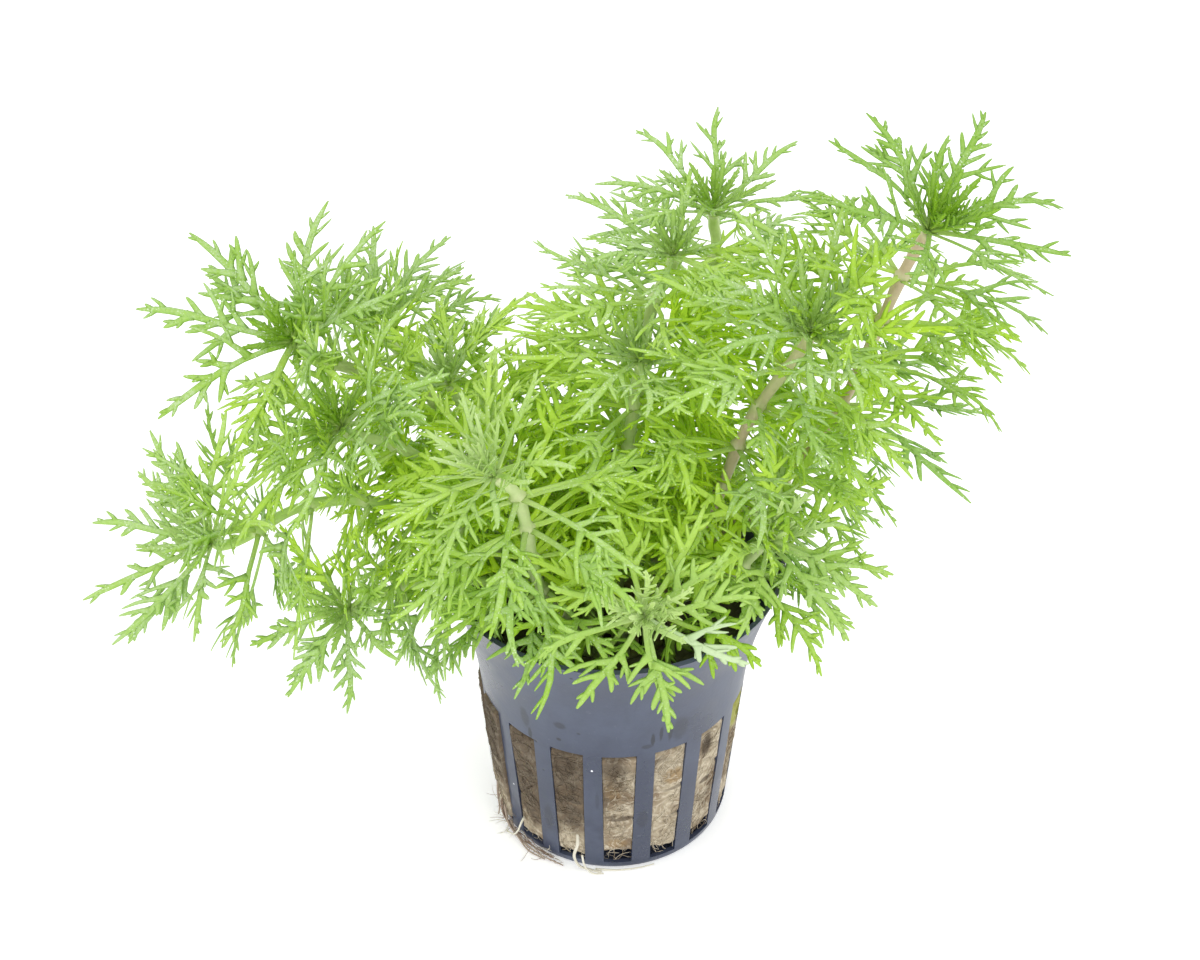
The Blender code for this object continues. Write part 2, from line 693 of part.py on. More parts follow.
def main():
    clear_scene()
    parts = make_collection("giant_ambulia")
    cutters = make_collection("cutters")
    pot_plastic = make_material("pot_plastic", (0.10, 0.12, 0.16), 0.4)
    rockwool = make_material("rockwool", (0.42, 0.33, 0.21), 0.95)
    stem_green = make_material("stem_green", (0.48, 0.56, 0.25), 0.5)
    leaf_green = make_material("leaf_green", (0.28, 0.50, 0.08), 0.5)
    crown_green = make_material("crown_green", (0.16, 0.40, 0.06), 0.5)
    root_white = make_material("root_white", (0.72, 0.62, 0.48), 0.7)

    build_pot(parts, cutters, pot_plastic)
    build_wool(parts, rockwool)
    stems = {key: stem_points(shoot) for key, shoot in SHOOTS.items()}
    for key, points in stems.items():
        build_tube("stem_" + key, points, STEM_RADIUS, parts, stem_green, 1)
    rings = lay_out_rings(stems)
    grow(rings, stems)
    for ring in rings:
        mesh = whorl_mesh(ring) if ring.order else crown_mesh(ring)
        add_object(ring.name, mesh, parts, leaf_green if ring.order else crown_green)
    for name, route in ROOTS.items():
        points = smooth_route([from_polar(*spot) for spot in route], ROOT_SPACING)
        build_tube(name, points, ROOT_RADIUS, parts, root_white, 0)


main()
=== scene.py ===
"""The looks of a giant ambulia in a slotted net pot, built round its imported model.

The file is laid out as an add-on and runs as a script. The plant's layout is grown again from the same
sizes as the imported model, and each piece is a surface worked out with numpy on that layout. Lengths are
in millimetres until a mesh is made. +Z is up, -Y is the front, and the origin is the centre of the
pot's flat base.
"""
import functools
import math
import random

import bpy
import numpy as np
from mathutils import Matrix, Vector
from mathutils.bvhtree import BVHTree


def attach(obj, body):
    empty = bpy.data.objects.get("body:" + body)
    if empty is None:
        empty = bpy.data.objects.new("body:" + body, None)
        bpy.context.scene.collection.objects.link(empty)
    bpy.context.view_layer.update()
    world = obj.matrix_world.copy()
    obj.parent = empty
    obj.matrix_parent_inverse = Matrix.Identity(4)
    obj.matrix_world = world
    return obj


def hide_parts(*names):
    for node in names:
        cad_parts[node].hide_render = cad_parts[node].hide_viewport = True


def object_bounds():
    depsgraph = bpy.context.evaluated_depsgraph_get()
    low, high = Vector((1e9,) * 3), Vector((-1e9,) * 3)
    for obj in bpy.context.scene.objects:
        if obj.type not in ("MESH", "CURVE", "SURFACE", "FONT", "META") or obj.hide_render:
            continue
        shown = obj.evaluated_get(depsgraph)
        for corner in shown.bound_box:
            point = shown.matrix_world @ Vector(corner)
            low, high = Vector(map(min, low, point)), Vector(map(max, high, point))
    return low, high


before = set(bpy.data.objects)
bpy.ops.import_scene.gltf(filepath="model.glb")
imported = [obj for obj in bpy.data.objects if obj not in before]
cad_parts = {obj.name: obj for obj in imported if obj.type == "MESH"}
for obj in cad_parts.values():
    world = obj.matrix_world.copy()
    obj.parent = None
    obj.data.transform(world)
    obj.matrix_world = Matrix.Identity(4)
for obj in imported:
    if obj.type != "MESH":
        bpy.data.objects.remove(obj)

bl_info = {
    "name": "Giant ambulia in a net pot",
    "version": (1, 0, 0),
    "blender": (4, 5, 0),
    "location": "View3D > Sidebar > Ambulia",
    "description": "Builds a bunch of giant ambulia, its rockwool and its slotted pot, with their finishes",
    "category": "Add Mesh",
}

BODY = "root"
CAD_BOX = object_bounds()
MM = 0.001
GAP = 0.3

# Pot
POT_HEIGHT = 50.0
POT_BASE_RADIUS = 18.8
POT_TOP_RADIUS = 26.1
POT_TAPER = 0.0786
POT_FLARE_FROM = 28.0
POT_WALL = 1.0
SLOT_COUNT = 16
SLOT_ANGLE_BOTTOM = 13.4
SLOT_ANGLE_TOP = 14.7
SLOT_BOTTOM = 1.5
SLOT_TOP = 27.7
SLOT_TURN = 2.5
FLOOR_SLOT_COUNT = 8
FLOOR_SLOT_INNER = 6.0
FLOOR_SLOT_OUTER = 14.0
FLOOR_SLOT_WIDTH = 3.2

# Rockwool plug
WOOL_TOP = 40.0
WELL_FLOOR = 12.0
WELL_RADIUS = 8.8
WELL_MOUTH = 12.5

# Stems
STEM_RADIUS = 0.95
STEM_SPACING = 10.0
TIP_STRAIGHT = 2.0
TIP_FREE = 4.5
COLLAR_SPREAD = 1.03
COLLAR_DEPTH = 3.0
FOOT_HEIGHT = WELL_FLOOR + GAP

# Leaf rings
WHORL_COUNT = 7
COLLAR_OUTER = STEM_RADIUS + 0.9
COLLAR_HALF = 0.8
HUB_RADIUS = 1.5
HUB_LEAF_HEIGHT = 1.0
YOUNG_REACH = 0.13
YOUNG_RISE = 0.3
BLADE_THICKNESS = 0.45
NOTCH_HALF = 0.022
NECK_HALF = 0.03
LONG_LEAF_LOBES = [(0.36, 0.62, 0.24, 0.50), (0.54, 0.88, 0.19, 0.70)]
PLAIN_LEAF_LOBES = [(0.40, 0.84, 0.22, 0.64)]
CROWN_PITCH = (58, 76)
CROWN_SAG = (0.0, 0.3)
WHORL_PITCH = (70, 88)
WHORL_SAG = (0.1, 0.6)
LENGTH_RANGE = (0.88, 1.05)
ROLL_RANGE = (-0.25, 0.25)
BREADTH_RANGE = (0.85, 1.1)
TRIALS = 140
TURN_REACH = 24
PITCH_REACH = 65
SAG_REACH = 1.2
LOWEST_SAG = -0.8
SHORTEN_AFTER = 0.5
SHORTEN_BY = 0.9
STUB = 3.0
WALL_CLEARANCE = 0.35
WOOL_CLEARANCE = 1.0
SWELL = 0.3
PROBE_TOP_HALF = 0.95
PROBE_LOW_HALF = 0.8
PROBE_DEPTH = 0.9
CLEAR_OF_ALL_FROM = 0.02
CLEAR_OF_SIBLINGS_FROM = 0.12
TURN_PER_NODE = 25
PACKED_SEED = 7

# Each shoot: where its foot stands in the well (ring radius, angle in degrees), the points that its
# stem passes through above the wool, the way its crown faces, the crown's leaf count and length, and
# for each whorl its distance below the tip and its leaf length.
SHOOTS = {
    "a": dict(foot=(6.9, 157),
              route=[(-9, 4, 45), (-17, 6, 61), (-28.5, 9, 74), (-37, 11, 76), (-44, 12, 78)],
              tip=(-46.7, 11.5, 81), facing=(-0.25, -0.35, 0.9), crown=(8, 21.5), turn=24,
              whorls=[(7.5, 21), (15.5, 21)]),
    "b": dict(foot=(6.9, 133), route=[(-8, 9, 45), (-17, 16, 58), (-28, 21, 68), (-34, 22.5, 73)],
              tip=(-36.5, 22, 77.5), facing=(-0.1, -0.2, 1.0), crown=(8, 16), turn=28,
              whorls=[(7, 18), (15, 19)]),
    "c": dict(foot=(6.9, 181), route=[(-10, 0, 45), (-20, -1.5, 62), (-30, -3, 72.5)],
              tip=(-38.3, -4, 77), facing=(-0.55, -0.3, 0.8), crown=(8, 21), turn=16,
              whorls=[(8, 22)]),
    "d": dict(foot=(6.9, 205),
              route=[(-10, -4, 45), (-22, -6, 60), (-35, -8, 67), (-45, -9.5, 67), (-53, -10, 62)],
              tip=(-57.8, -11, 61.8), facing=(-0.6, -0.45, 0.65), crown=(8, 18.5), turn=24,
              whorls=[(8, 20), (17, 21)]),
    "e": dict(foot=(6.9, 229), route=[(-9, -7, 45), (-20, -11, 54.5), (-29, -14, 57)],
              tip=(-37.8, -17, 54.5), facing=(-0.6, -0.6, 0.5), crown=(8, 14.5), turn=0,
              whorls=[(8.5, 17)]),
    "f": dict(foot=(6.9, 38), route=[(7, 7, 45), (10.5, 13, 64), (14, 18, 82), (15, 20, 92)],
              tip=(14.5, 20.5, 97.5), facing=(-0.05, -0.15, 1.0), crown=(8, 16.5), turn=12,
              whorls=[(7, 19), (14.5, 21), (22, 23)]),
    "g": dict(foot=(4.0, 78), route=[(1.5, 6, 45), (3, 8, 70), (5.8, 9.5, 90)],
              tip=(8.3, 10, 96.8), facing=(0.1, -0.25, 1.0), crown=(7, 15), turn=32,
              whorls=[(7.5, 18), (15.5, 21)]),
    "h": dict(foot=(6.9, 0), route=[(10, 0, 45), (24, 2, 61), (32, 3.5, 73), (36.5, 4, 86), (40, 4, 98)],
              tip=(42.7, 4, 104.5), facing=(0.35, -0.15, 0.95), crown=(8, 19.5), turn=8,
              whorls=[(7.5, 20), (15, 21), (22, 22), (30, 22)]),
    "i": dict(foot=(3.6, 342), route=[(7, -1.5, 45), (15, -2, 62), (19, -2, 76), (23.5, -2, 85)],
              tip=(26.8, -3, 92.4), facing=(0.15, -0.3, 0.95), crown=(8, 19), turn=8,
              whorls=[(7, 22), (14, 22), (22, 22)]),
    "j": dict(foot=(3.6, 125), route=[(0.5, 2, 48), (2, 2, 66), (3, 2, 79)],
              tip=(3.6, 1.6, 84.6), facing=(-0.05, -0.2, 1.0), crown=(8, 19), turn=28,
              whorls=[(8, 21)]),
    "k": dict(foot=(6.9, 254), route=[(-7, -9, 45), (-11, -13, 56), (-12.4, -14.5, 68), (-13.6, -15, 74)],
              tip=(-16.4, -15.5, 77.5), facing=(-0.55, -0.2, 0.8), crown=(8, 17), turn=0,
              whorls=[(5, 23), (11, 22), (17, 22)]),
    "l": dict(foot=(6.9, 283), route=[(2.5, -9, 45), (3.4, -15, 53)],
              tip=(4.2, -21, 56.5), facing=(0.05, -0.7, 0.7), crown=(8, 17), turn=10,
              whorls=[(5.5, 19)]),
    "m": dict(foot=(6.9, 322), route=[(9, -5.5, 45), (17, -7.5, 52), (20.5, -8, 57)],
              tip=(22.3, -9, 60.5), facing=(0.3, -0.5, 0.8), crown=(8, 19), turn=44,
              whorls=[(7, 20)]),
    "o": dict(foot=(3.6, 198), route=[(-5, 1.5, 45), (-14, 3.5, 62), (-20.5, 5, 72)],
              tip=(-23.8, 6, 77.6), facing=(-0.3, -0.1, 1.0), crown=(7, 16), turn=8,
              whorls=[(8, 19)]),
}

# For each shoot: how broad its lobes are, and, from 0 to 1, how blunt the lobes' ends are, how warm its
# green is, how pale its youngest leaves are, how pink its stem is, how light and thick its stem is, how
# far its youngest leaves spread out in a star, and how deep its green is
HABIT_KEYS = ("broad", "blunt", "warmth", "pale", "pink", "light", "star", "depth")
HABITS = {
    "a": (0.98, 0.75, 0.30, 0.0, 0.35, 0.5, 1.0, 0.3),
    "b": (0.90, 0.75, 0.20, 0.3, 0.2, 0.4, 0.3, 0.5),
    "c": (0.92, 0.75, 0.30, 0.0, 0.2, 0.4, 1.0, 0.4),
    "d": (0.95, 0.75, 0.30, 0.5, 0.1, 0.1, 0.4, 0.2),
    "e": (0.94, 0.78, 0.45, 0.2, 0.1, 0.2, 0.9, 0.4),
    "f": (0.85, 0.75, 0.35, 0.1, 0.25, 0.5, 0.7, 0.4),
    "g": (0.90, 0.75, 0.35, 0.2, 0.25, 0.5, 0.7, 0.4),
    "h": (0.95, 0.78, 0.40, 0.0, 0.9, 0.6, 0.4, 1.0),
    "i": (0.95, 0.78, 0.45, 0.2, 0.7, 0.6, 0.7, 0.5),
    "j": (0.92, 0.78, 0.40, 0.3, 0.3, 0.5, 0.8, 0.4),
    "k": (0.94, 0.9, 0.60, 0.9, 0.15, 1.0, 0.0, 0.0),
    "l": (1.22, 1.0, 0.85, 1.0, 0.0, 0.9, 0.0, 0.0),
    "m": (1.02, 0.95, 0.70, 0.9, 0.1, 1.0, 0.0, 0.0),
    "o": (0.92, 0.78, 0.40, 0.4, 0.2, 0.5, 0.5, 0.3),
}
HABIT = {key: dict(zip(HABIT_KEYS, habit)) for key, habit in HABITS.items()}

# The roots' centre lines, as (angle, distance from the pot's middle, height)
ROOTS = {
    "root_front": [(-107, 18.9, 7.4), (-106, 20.2, 6.2), (-107.5, 20.3, 3.6), (-105.5, 20.0, 1.2),
                   (-101, 19.9, 0.6), (-95, 20.2, 0.6)],
    "root_left": [(-156, 18.8, 6.6), (-154, 19.9, 4.6), (-149, 19.7, 1.6), (-141, 19.5, 0.8),
                  (-130, 19.5, 0.7), (-119, 19.7, 0.6)],
}

# Camera: what it looks at, how far off it is and how steeply it looks down
LOOK_AT = (-2.0, 0.0, 64.5)
CAMERA_DISTANCE = 300.0
CAMERA_ELEVATION = 38.73
CAMERA_LENS = 61.08
SENSOR = 36.0


# Layout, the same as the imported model's


def pot_radius(height):
    """The pot's outer radius: a straight taper, plus a flare that grows as a square near the rim."""
    flare = (height - POT_FLARE_FROM) / (POT_HEIGHT - POT_FLARE_FROM)
    most = POT_TOP_RADIUS - POT_BASE_RADIUS - POT_TAPER * POT_HEIGHT
    return POT_BASE_RADIUS + POT_TAPER * height + most * np.maximum(0.0, flare) ** 2


def smooth_route(points, spacing):
    """Points about one spacing apart on a smooth curve through the given points.

    Between two points the curve is a cubic whose end slopes are half the span of the neighbours.
    """
    ends = [points[0] * 2 - points[1]] + points + [points[-1] * 2 - points[-2]]
    out = [points[0].copy()]
    for i in range(1, len(ends) - 2):
        p0, p1, p2, p3 = ends[i - 1:i + 3]
        steps = max(1, round((p2 - p1).length / spacing))
        for s in range(1, steps + 1):
            t = s / steps
            a = p1 * 2
            b = (p2 - p0) * t
            c = (p0 * 2 - p1 * 5 + p2 * 4 - p3) * t * t
            d = (p1 * 3 - p0 - p2 * 3 + p3) * t * t * t
            out.append((a + b + c + d) * 0.5)
    return out


def from_polar(angle, radius, height):
    turn = math.radians(angle)
    return Vector((radius * math.cos(turn), radius * math.sin(turn), height))


def curve_place(start, knee, end, t):
    """The place at a share t of the curve of the second degree with these ends and this knee."""
    return start * (1 - t) ** 2 + knee * (2 * t * (1 - t)) + end * t ** 2


def curve_slope(start, knee, end, t):
    """The way that such a curve runs at a share t of it: half its rate of change."""
    return (knee - start) * (1 - t) + (end - knee) * t


def stem_points(shoot):
    """A stem's centre line: straight up the well, along its route, and straight into its tip."""
    radius, angle = shoot["foot"]
    foot = from_polar(angle, radius, FOOT_HEIGHT)
    collar = from_polar(angle, radius * COLLAR_SPREAD, WOOL_TOP - COLLAR_DEPTH)
    tip = Vector(shoot["tip"])
    facing = Vector(shoot["facing"]).normalized()
    route = [collar] + [Vector(p) for p in shoot["route"]] + [tip]
    points = [foot] + smooth_route(route, STEM_SPACING)
    straight = [p for p in points[:-1] if (p - tip).length > TIP_FREE]
    straight.append(tip - facing * TIP_STRAIGHT)
    straight.append(tip)
    return straight


def point_below_tip(points, distance):
    """The place and the upward direction on a polyline, a given distance back from its end."""
    left = distance
    for i in range(len(points) - 1, 0, -1):
        span = points[i] - points[i - 1]
        if span.length >= left:
            return points[i] - span.normalized() * left, span.normalized()
        left -= span.length
    return points[0], (points[1] - points[0]).normalized()


def ring_axes(direction):
    """Two unit vectors across a direction, the first one level, so that (u, v, direction) turn right."""
    side = Vector((0, 0, 1)).cross(direction)
    if side.length < 0.05:
        side = Vector((1, 0, 0))
    u = side.normalized()
    v = direction.cross(u).normalized()
    return u, v


class Leaf:
    """One leaf: an axis curve that starts at the ring and bends down, and a blade across it."""

    def __init__(self, start, outward, axis, pitch, sag, length, roll, pairs, spread):
        first = (axis * math.cos(pitch) + outward * math.sin(pitch)).normalized()
        second = (first + Vector((0, 0, -1)) * sag).normalized()
        self.start = start
        self.knee = start + first * (length * 0.5)
        self.end = self.knee + second * (length * 0.5)
        self.side = Matrix.Rotation(roll, 3, first) @ axis.cross(outward).normalized()
        self.length = length
        self.pairs = pairs
        self.spread = spread

    def at(self, t):
        return curve_place(self.start, self.knee, self.end, t)

    def across(self, t):
        """The leaf's sideways and upward directions at a share of its length."""
        slope = curve_slope(self.start, self.knee, self.end, t).normalized()
        side = (self.side - slope * self.side.dot(slope)).normalized()
        return side, slope.cross(side)

    def rows(self):
        """The lobe pairs' places along the leaf, with their reach in millimetres."""
        lobes = LONG_LEAF_LOBES if self.pairs == 2 else PLAIN_LEAF_LOBES
        across = self.length * self.spread
        return [(notch, tip, reach * across, keel) for notch, tip, reach, keel in lobes]


def probe(leaf, begin):
    """A slightly swollen plain lobed blade in a leaf's place, from a share of its length on, to find
    what it runs into."""
    points = []
    faces = []

    def pair(t, half, rise):
        """The numbers of two new points, one to each side of the leaf's line at t."""
        side, upper = leaf.across(t)
        points.append(leaf.at(t) + side * half + upper * rise)
        points.append(leaf.at(t) - side * half + upper * rise)
        return len(points) - 2, len(points) - 1

    left, right = pair(begin, PROBE_TOP_HALF, SWELL)
    low_left, low_right = pair(begin, PROBE_LOW_HALF, -PROBE_DEPTH)
    keel = None
    for notch, tip, reach, keel_at in leaf.rows():
        new_left, new_right = pair(notch, NOTCH_HALF * leaf.length + SWELL, SWELL)
        points.append(leaf.at(keel_at) - leaf.across(keel_at)[1] * (BLADE_THICKNESS + SWELL))
        new_keel = len(points) - 1
        faces.append((left, right, new_right, new_left))
        if keel is None:
            faces += [(low_left, left, new_left), (low_left, new_left, new_keel),
                      (right, low_right, new_right), (new_right, low_right, new_keel),
                      (low_right, low_left, new_keel)]
        else:
            faces += [(left, new_left, keel), (keel, new_left, new_keel), (new_right, right, keel),
                      (new_right, keel, new_keel)]
        tip_left, tip_right = pair(tip, reach + SWELL, 0.0)
        next_left, next_right = pair(keel_at, NECK_HALF * leaf.length + SWELL, SWELL)
        faces += [(new_left, new_right, next_right, next_left), (new_left, next_left, tip_left),
                  (new_right, tip_right, next_right), (new_left, tip_left, new_keel),
                  (tip_left, next_left, new_keel), (tip_right, new_right, new_keel),
                  (next_right, tip_right, new_keel)]
        left, right, keel = next_left, next_right, new_keel
    points.append(leaf.at(1.0) + (leaf.at(1.0) - leaf.at(0.97)).normalized() * SWELL)
    point = len(points) - 1
    faces += [(left, right, point), (left, point, keel), (right, keel, point)]
    return obstacle(points, faces)


def obstacle(points, faces):
    """A shape to keep clear of, as the low and high corners of its box and a tree of its faces."""
    low = [min(p[i] for p in points) for i in range(3)]
    high = [max(p[i] for p in points) for i in range(3)]
    return low, high, BVHTree.FromPolygons([tuple(p) for p in points], faces)


class Crowd:
    """Many obstacles, with their boxes as arrays, to test a new one against at once."""

    def __init__(self, obstacles):
        self.trees = [o[2] for o in obstacles]
        self.low = np.array([o[0] for o in obstacles]).reshape(-1, 3)
        self.high = np.array([o[1] for o in obstacles]).reshape(-1, 3)

    def meets(self, one):
        near = ((self.low <= one[1]) & (self.high >= one[0])).all(axis=1)
        return any(one[2].overlap(self.trees[i]) for i in np.nonzero(near)[0])


def cone_wall(radii, heights, steps=32):
    """A plain ring wall between circles, as points and faces."""
    points = []
    for radius, height in zip(radii, heights):
        for i in range(steps):
            a = math.tau * i / steps
            points.append(Vector((radius * math.cos(a), radius * math.sin(a), height)))
    faces = []
    for low in range(0, (len(radii) - 1) * steps, steps):
        for i in range(steps):
            j = (i + 1) % steps
            faces.append((low + i, low + j, low + steps + j, low + steps + i))
    return points, faces


def tube_wall(points, radius, sides=6):
    """A tube with closed ends along a polyline, as points and faces."""
    rings = []
    for i, p in enumerate(points):
        ahead = points[min(i + 1, len(points) - 1)] - points[max(i - 1, 0)]
        u, v = ring_axes(ahead.normalized())
        for k in range(sides):
            a = math.tau * k / sides
            rings.append(p + u * (radius * math.cos(a)) + v * (radius * math.sin(a)))
    faces = []
    for i in range(len(points) - 1):
        for k in range(sides):
            n = (k + 1) % sides
            faces.append((i * sides + k, i * sides + n, (i + 1) * sides + n, (i + 1) * sides + k))
    last = (len(points) - 1) * sides
    faces.append(tuple(range(sides)))
    faces.append(tuple(range(last, last + sides)))
    return rings, faces


def fixed_obstacles(stems):
    """What no leaf may run into: the pot's wall, the wool's top and every stem."""
    wall = WALL_CLEARANCE
    out = [obstacle(*cone_wall(
        (pot_radius(0) + wall, POT_TOP_RADIUS + wall, POT_TOP_RADIUS + wall,
         POT_TOP_RADIUS - POT_WALL - wall, pot_radius(0) - POT_WALL - wall),
        (0, POT_HEIGHT, POT_HEIGHT + wall, POT_HEIGHT + wall, 0)))]
    level = WOOL_TOP + WOOL_CLEARANCE
    out.append(obstacle(*cone_wall((0.01, pot_radius(WOOL_TOP)), (level, level))))
    for points in stems.values():
        out.append(obstacle(*tube_wall(points, STEM_RADIUS + wall)))
    return out


class Ring:
    """The leaves that grow from one node of a stem, or from its tip."""

    def __init__(self, name, place, axis, count, length, turn, order):
        self.name = name
        self.place = place
        self.axis = axis
        self.u, self.v = ring_axes(axis)
        self.count = count
        self.length = length
        self.turn = math.radians(turn)
        self.order = order
        self.leaves = []

    def outward(self, angle):
        return self.u * math.cos(angle) + self.v * math.sin(angle)

    def body(self):
        """The ring's own body, swollen, as an obstacle for other rings' leaves."""
        low, high = -COLLAR_HALF - SWELL, COLLAR_HALF + SWELL
        radius = COLLAR_OUTER + STUB + SWELL
        if self.order == 0:
            low, high = 0.0, self.length * YOUNG_RISE + SWELL
            radius = self.length * YOUNG_REACH + 2 * SWELL
        ends = [self.place + self.axis * low, self.place + self.axis * high]
        return obstacle(*tube_wall(ends, radius, 8))


def grow(rings, standing, bodies, dice, apart=True):
    """Gives every ring its leaves, each clear of what stands and of the leaves before it.

    With apart off, a leaf may reach between the leaves that stand already, and only what is in
    standing at the start is kept clear.
    """
    for ring in rings:
        crowd = Crowd(standing + [body for name, body in bodies.items() if name != ring.name])
        short = []
        crown = ring.order == 0
        for i in range(ring.count):
            angle = ring.turn + math.tau * i / ring.count
            pitch = math.radians(dice.uniform(*(CROWN_PITCH if crown else WHORL_PITCH)))
            sag = dice.uniform(*(CROWN_SAG if crown else WHORL_SAG))
            length = ring.length * dice.uniform(*LENGTH_RANGE)
            roll = dice.uniform(*ROLL_RANGE)
            spread = dice.uniform(*BREADTH_RANGE)
            moves = [[dice.uniform(-1, 1) for _ in range(3)] for _ in range(TRIALS)]
            pairs = 2 if crown and i % 3 == 0 else 1
            siblings = Crowd(short)
            for trial, (da, dp, ds) in enumerate(moves):
                reach = trial / TRIALS
                a = angle + da * reach * math.radians(TURN_REACH)
                p = pitch + dp * reach * math.radians(PITCH_REACH)
                s = max(LOWEST_SAG, sag + ds * reach * SAG_REACH)
                size = length * (1.0 - SHORTEN_BY * max(0.0, reach - SHORTEN_AFTER))
                out = ring.outward(a)
                start = ring.place + out * COLLAR_OUTER
                if crown:
                    start = ring.place + out * HUB_RADIUS + ring.axis * HUB_LEAF_HEIGHT
                leaf = Leaf(start, out, ring.axis, p, s, size, roll, pairs, spread)
                if crowd.meets(probe(leaf, CLEAR_OF_ALL_FROM)):
                    continue
                if siblings.meets(probe(leaf, CLEAR_OF_SIBLINGS_FROM)):
                    continue
                break
            else:
                if not apart:
                    continue
                out = ring.outward(angle)
                start = ring.place + out * COLLAR_OUTER
                leaf = Leaf(start, out, ring.axis, math.pi / 2, 0.0, STUB, 0.0, 1, 1.0)
            ring.leaves.append(leaf)
            if apart:
                short.append(probe(leaf, CLEAR_OF_SIBLINGS_FROM))
                standing.append(probe(leaf, CLEAR_OF_ALL_FROM))


def lay_out_rings(stems):
    """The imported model's rings without their leaves: every crown, and then every whorl."""
    rings = []
    for key, shoot in SHOOTS.items():
        count, length = shoot["crown"]
        axis = Vector(shoot["facing"]).normalized()
        rings.append(Ring("crown_" + key, stems[key][-1], axis, count, length, shoot["turn"], 0))
    for key, shoot in SHOOTS.items():
        for order, (distance, length) in enumerate(shoot["whorls"], 1):
            place, axis = point_below_tip(stems[key], distance)
            turn = shoot["turn"] + TURN_PER_NODE * order
            rings.append(Ring("whorl_%s%d" % (key, order), place, axis, WHORL_COUNT, length, turn, order))
    return rings


# Leaves between the main ones: how many more a ring gets, how long they are for its length, and the
# rings that get none
EXTRA_IN_CROWN = 3
EXTRA_IN_WHORL = 2
EXTRA_LENGTH = 0.88
EXTRA_SEED = 23
SPARSE = ("crown_f", "crown_h")

# Rings further down the stems: their spacing and leaf length, and how far over the wool the lowest one
# stands at least
LOW_SPACING = 8.0
LOW_LENGTH = 17.5
LOW_CLEAR = 7.0


def lower_rings(stems):
    """Rings between the last packed whorl of each shoot and the wool."""
    rings = []
    for key, shoot in SHOOTS.items():
        order = len(shoot["whorls"])
        distance = shoot["whorls"][-1][0] + LOW_SPACING
        place, axis = point_below_tip(stems[key], distance)
        while place.z > WOOL_TOP + LOW_CLEAR:
            order += 1
            turn = shoot["turn"] + TURN_PER_NODE * order
            rings.append(Ring("low_%s%d" % (key, order), place, axis, WHORL_COUNT, LOW_LENGTH, turn, order))
            distance += LOW_SPACING
            place, axis = point_below_tip(stems[key], distance)
    return rings


@functools.lru_cache(maxsize=1)
def plant():
    """The stems' centre lines and the rings with all their leaves."""
    stems = {key: stem_points(shoot) for key, shoot in SHOOTS.items()}
    rings = lay_out_rings(stems)
    bodies = {ring.name: ring.body() for ring in rings}
    fixed = fixed_obstacles(stems)
    grow(rings, list(fixed), bodies, random.Random(PACKED_SEED))
    for ring in rings:
        ring.turn += math.pi / ring.count
        ring.count = EXTRA_IN_WHORL if ring.order else EXTRA_IN_CROWN
        if ring.name in SPARSE:
            ring.count = 0
        ring.length *= EXTRA_LENGTH
    rings += lower_rings(stems)
    grow(rings, fixed, {}, random.Random(EXTRA_SEED), apart=False)
    return stems, rings


# Meshes


def make_mesh(name, points, quads, values=None):
    """A smooth mesh from points in millimetres and four-sided faces, with values on its points."""
    mesh = bpy.data.meshes.new(name)
    mesh.vertices.add(len(points))
    mesh.vertices.foreach_set("co", (np.asarray(points, float) * MM).astype(np.float32).ravel())
    mesh.loops.add(quads.size)
    mesh.loops.foreach_set("vertex_index", quads.astype(np.int32).ravel())
    mesh.polygons.add(len(quads))
    mesh.polygons.foreach_set("loop_start", np.arange(0, quads.size, 4, dtype=np.int32))
    mesh.update(calc_edges=True)
    mesh.polygons.foreach_set("use_smooth", np.ones(len(quads), bool))
    for key, value in (values or {}).items():
        layer = mesh.attributes.new(key, "FLOAT", "POINT")
        layer.data.foreach_set("value", np.asarray(value, np.float32).ravel())
    mesh.validate()
    return mesh


def add_piece(mesh, material, nodes=()):
    """Puts a mesh in the scene as a piece that rides on the plant and stands for the CAD nodes."""
    thing = bpy.data.objects.new(mesh.name, mesh)
    bpy.context.scene.collection.objects.link(thing)
    mesh.materials.append(material)
    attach(thing, BODY)
    if nodes:
        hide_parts(*nodes)
    return thing


def round_axis(radius, angle, height):
    """Points as (x, y, z) at radii, angles and heights round the pot's axis."""
    return np.stack([radius * np.cos(angle), radius * np.sin(angle),
                     np.broadcast_to(height, angle.shape)], axis=-1)


def grid_quads(rows, columns, closed):
    """Faces of a grid of rows by columns points, joined round when closed. Row-major numbering."""
    across = columns if closed else columns - 1
    i, j = np.meshgrid(np.arange(rows - 1), np.arange(across), indexing="ij")
    k = (j + 1) % columns
    return np.stack([i * columns + j, i * columns + k, (i + 1) * columns + k, (i + 1) * columns + j],
                    axis=-1).reshape(-1, 4)


# Cross-sections of leaf strips, as (across, up, edge): the first two are shares of the half width and
# the thickness, and the third goes from 0 on the middle line to 1 at the strip's edge
RIBBED = np.array([(1.0, 0.0, 1.0), (0.5, 0.75, 0.5), (0.0, 0.5, 0.0), (-0.5, 0.75, 0.5), (-1.0, 0.0, 1.0),
                   (0.0, -1.0, 0.0)])
PLAIN = np.array([(1.0, 0.0, 1.0), (0.0, 0.7, 0.3), (-1.0, 0.0, 1.0), (0.0, -1.0, 0.0)])

# How wide a strip's blunt tip is, as a share of the strip's width, and how fast its flare dies away, as
# a share of its length
TIP_SHARE = 0.26
FLARE_REACH = 0.16


def strip_quads(steps, sides):
    """Faces of one strip: a tube whose two ends are closed by four-sided faces."""
    last = (steps - 1) * sides
    caps = [(3, 2, 1, 0), (last, last + 1, last + 2, last + 3)]
    if sides == 6:
        caps += [(5, 4, 3, 0), (last, last + 3, last + 4, last + 5)]
    return np.concatenate([grid_quads(steps, sides, True), np.array(caps)])


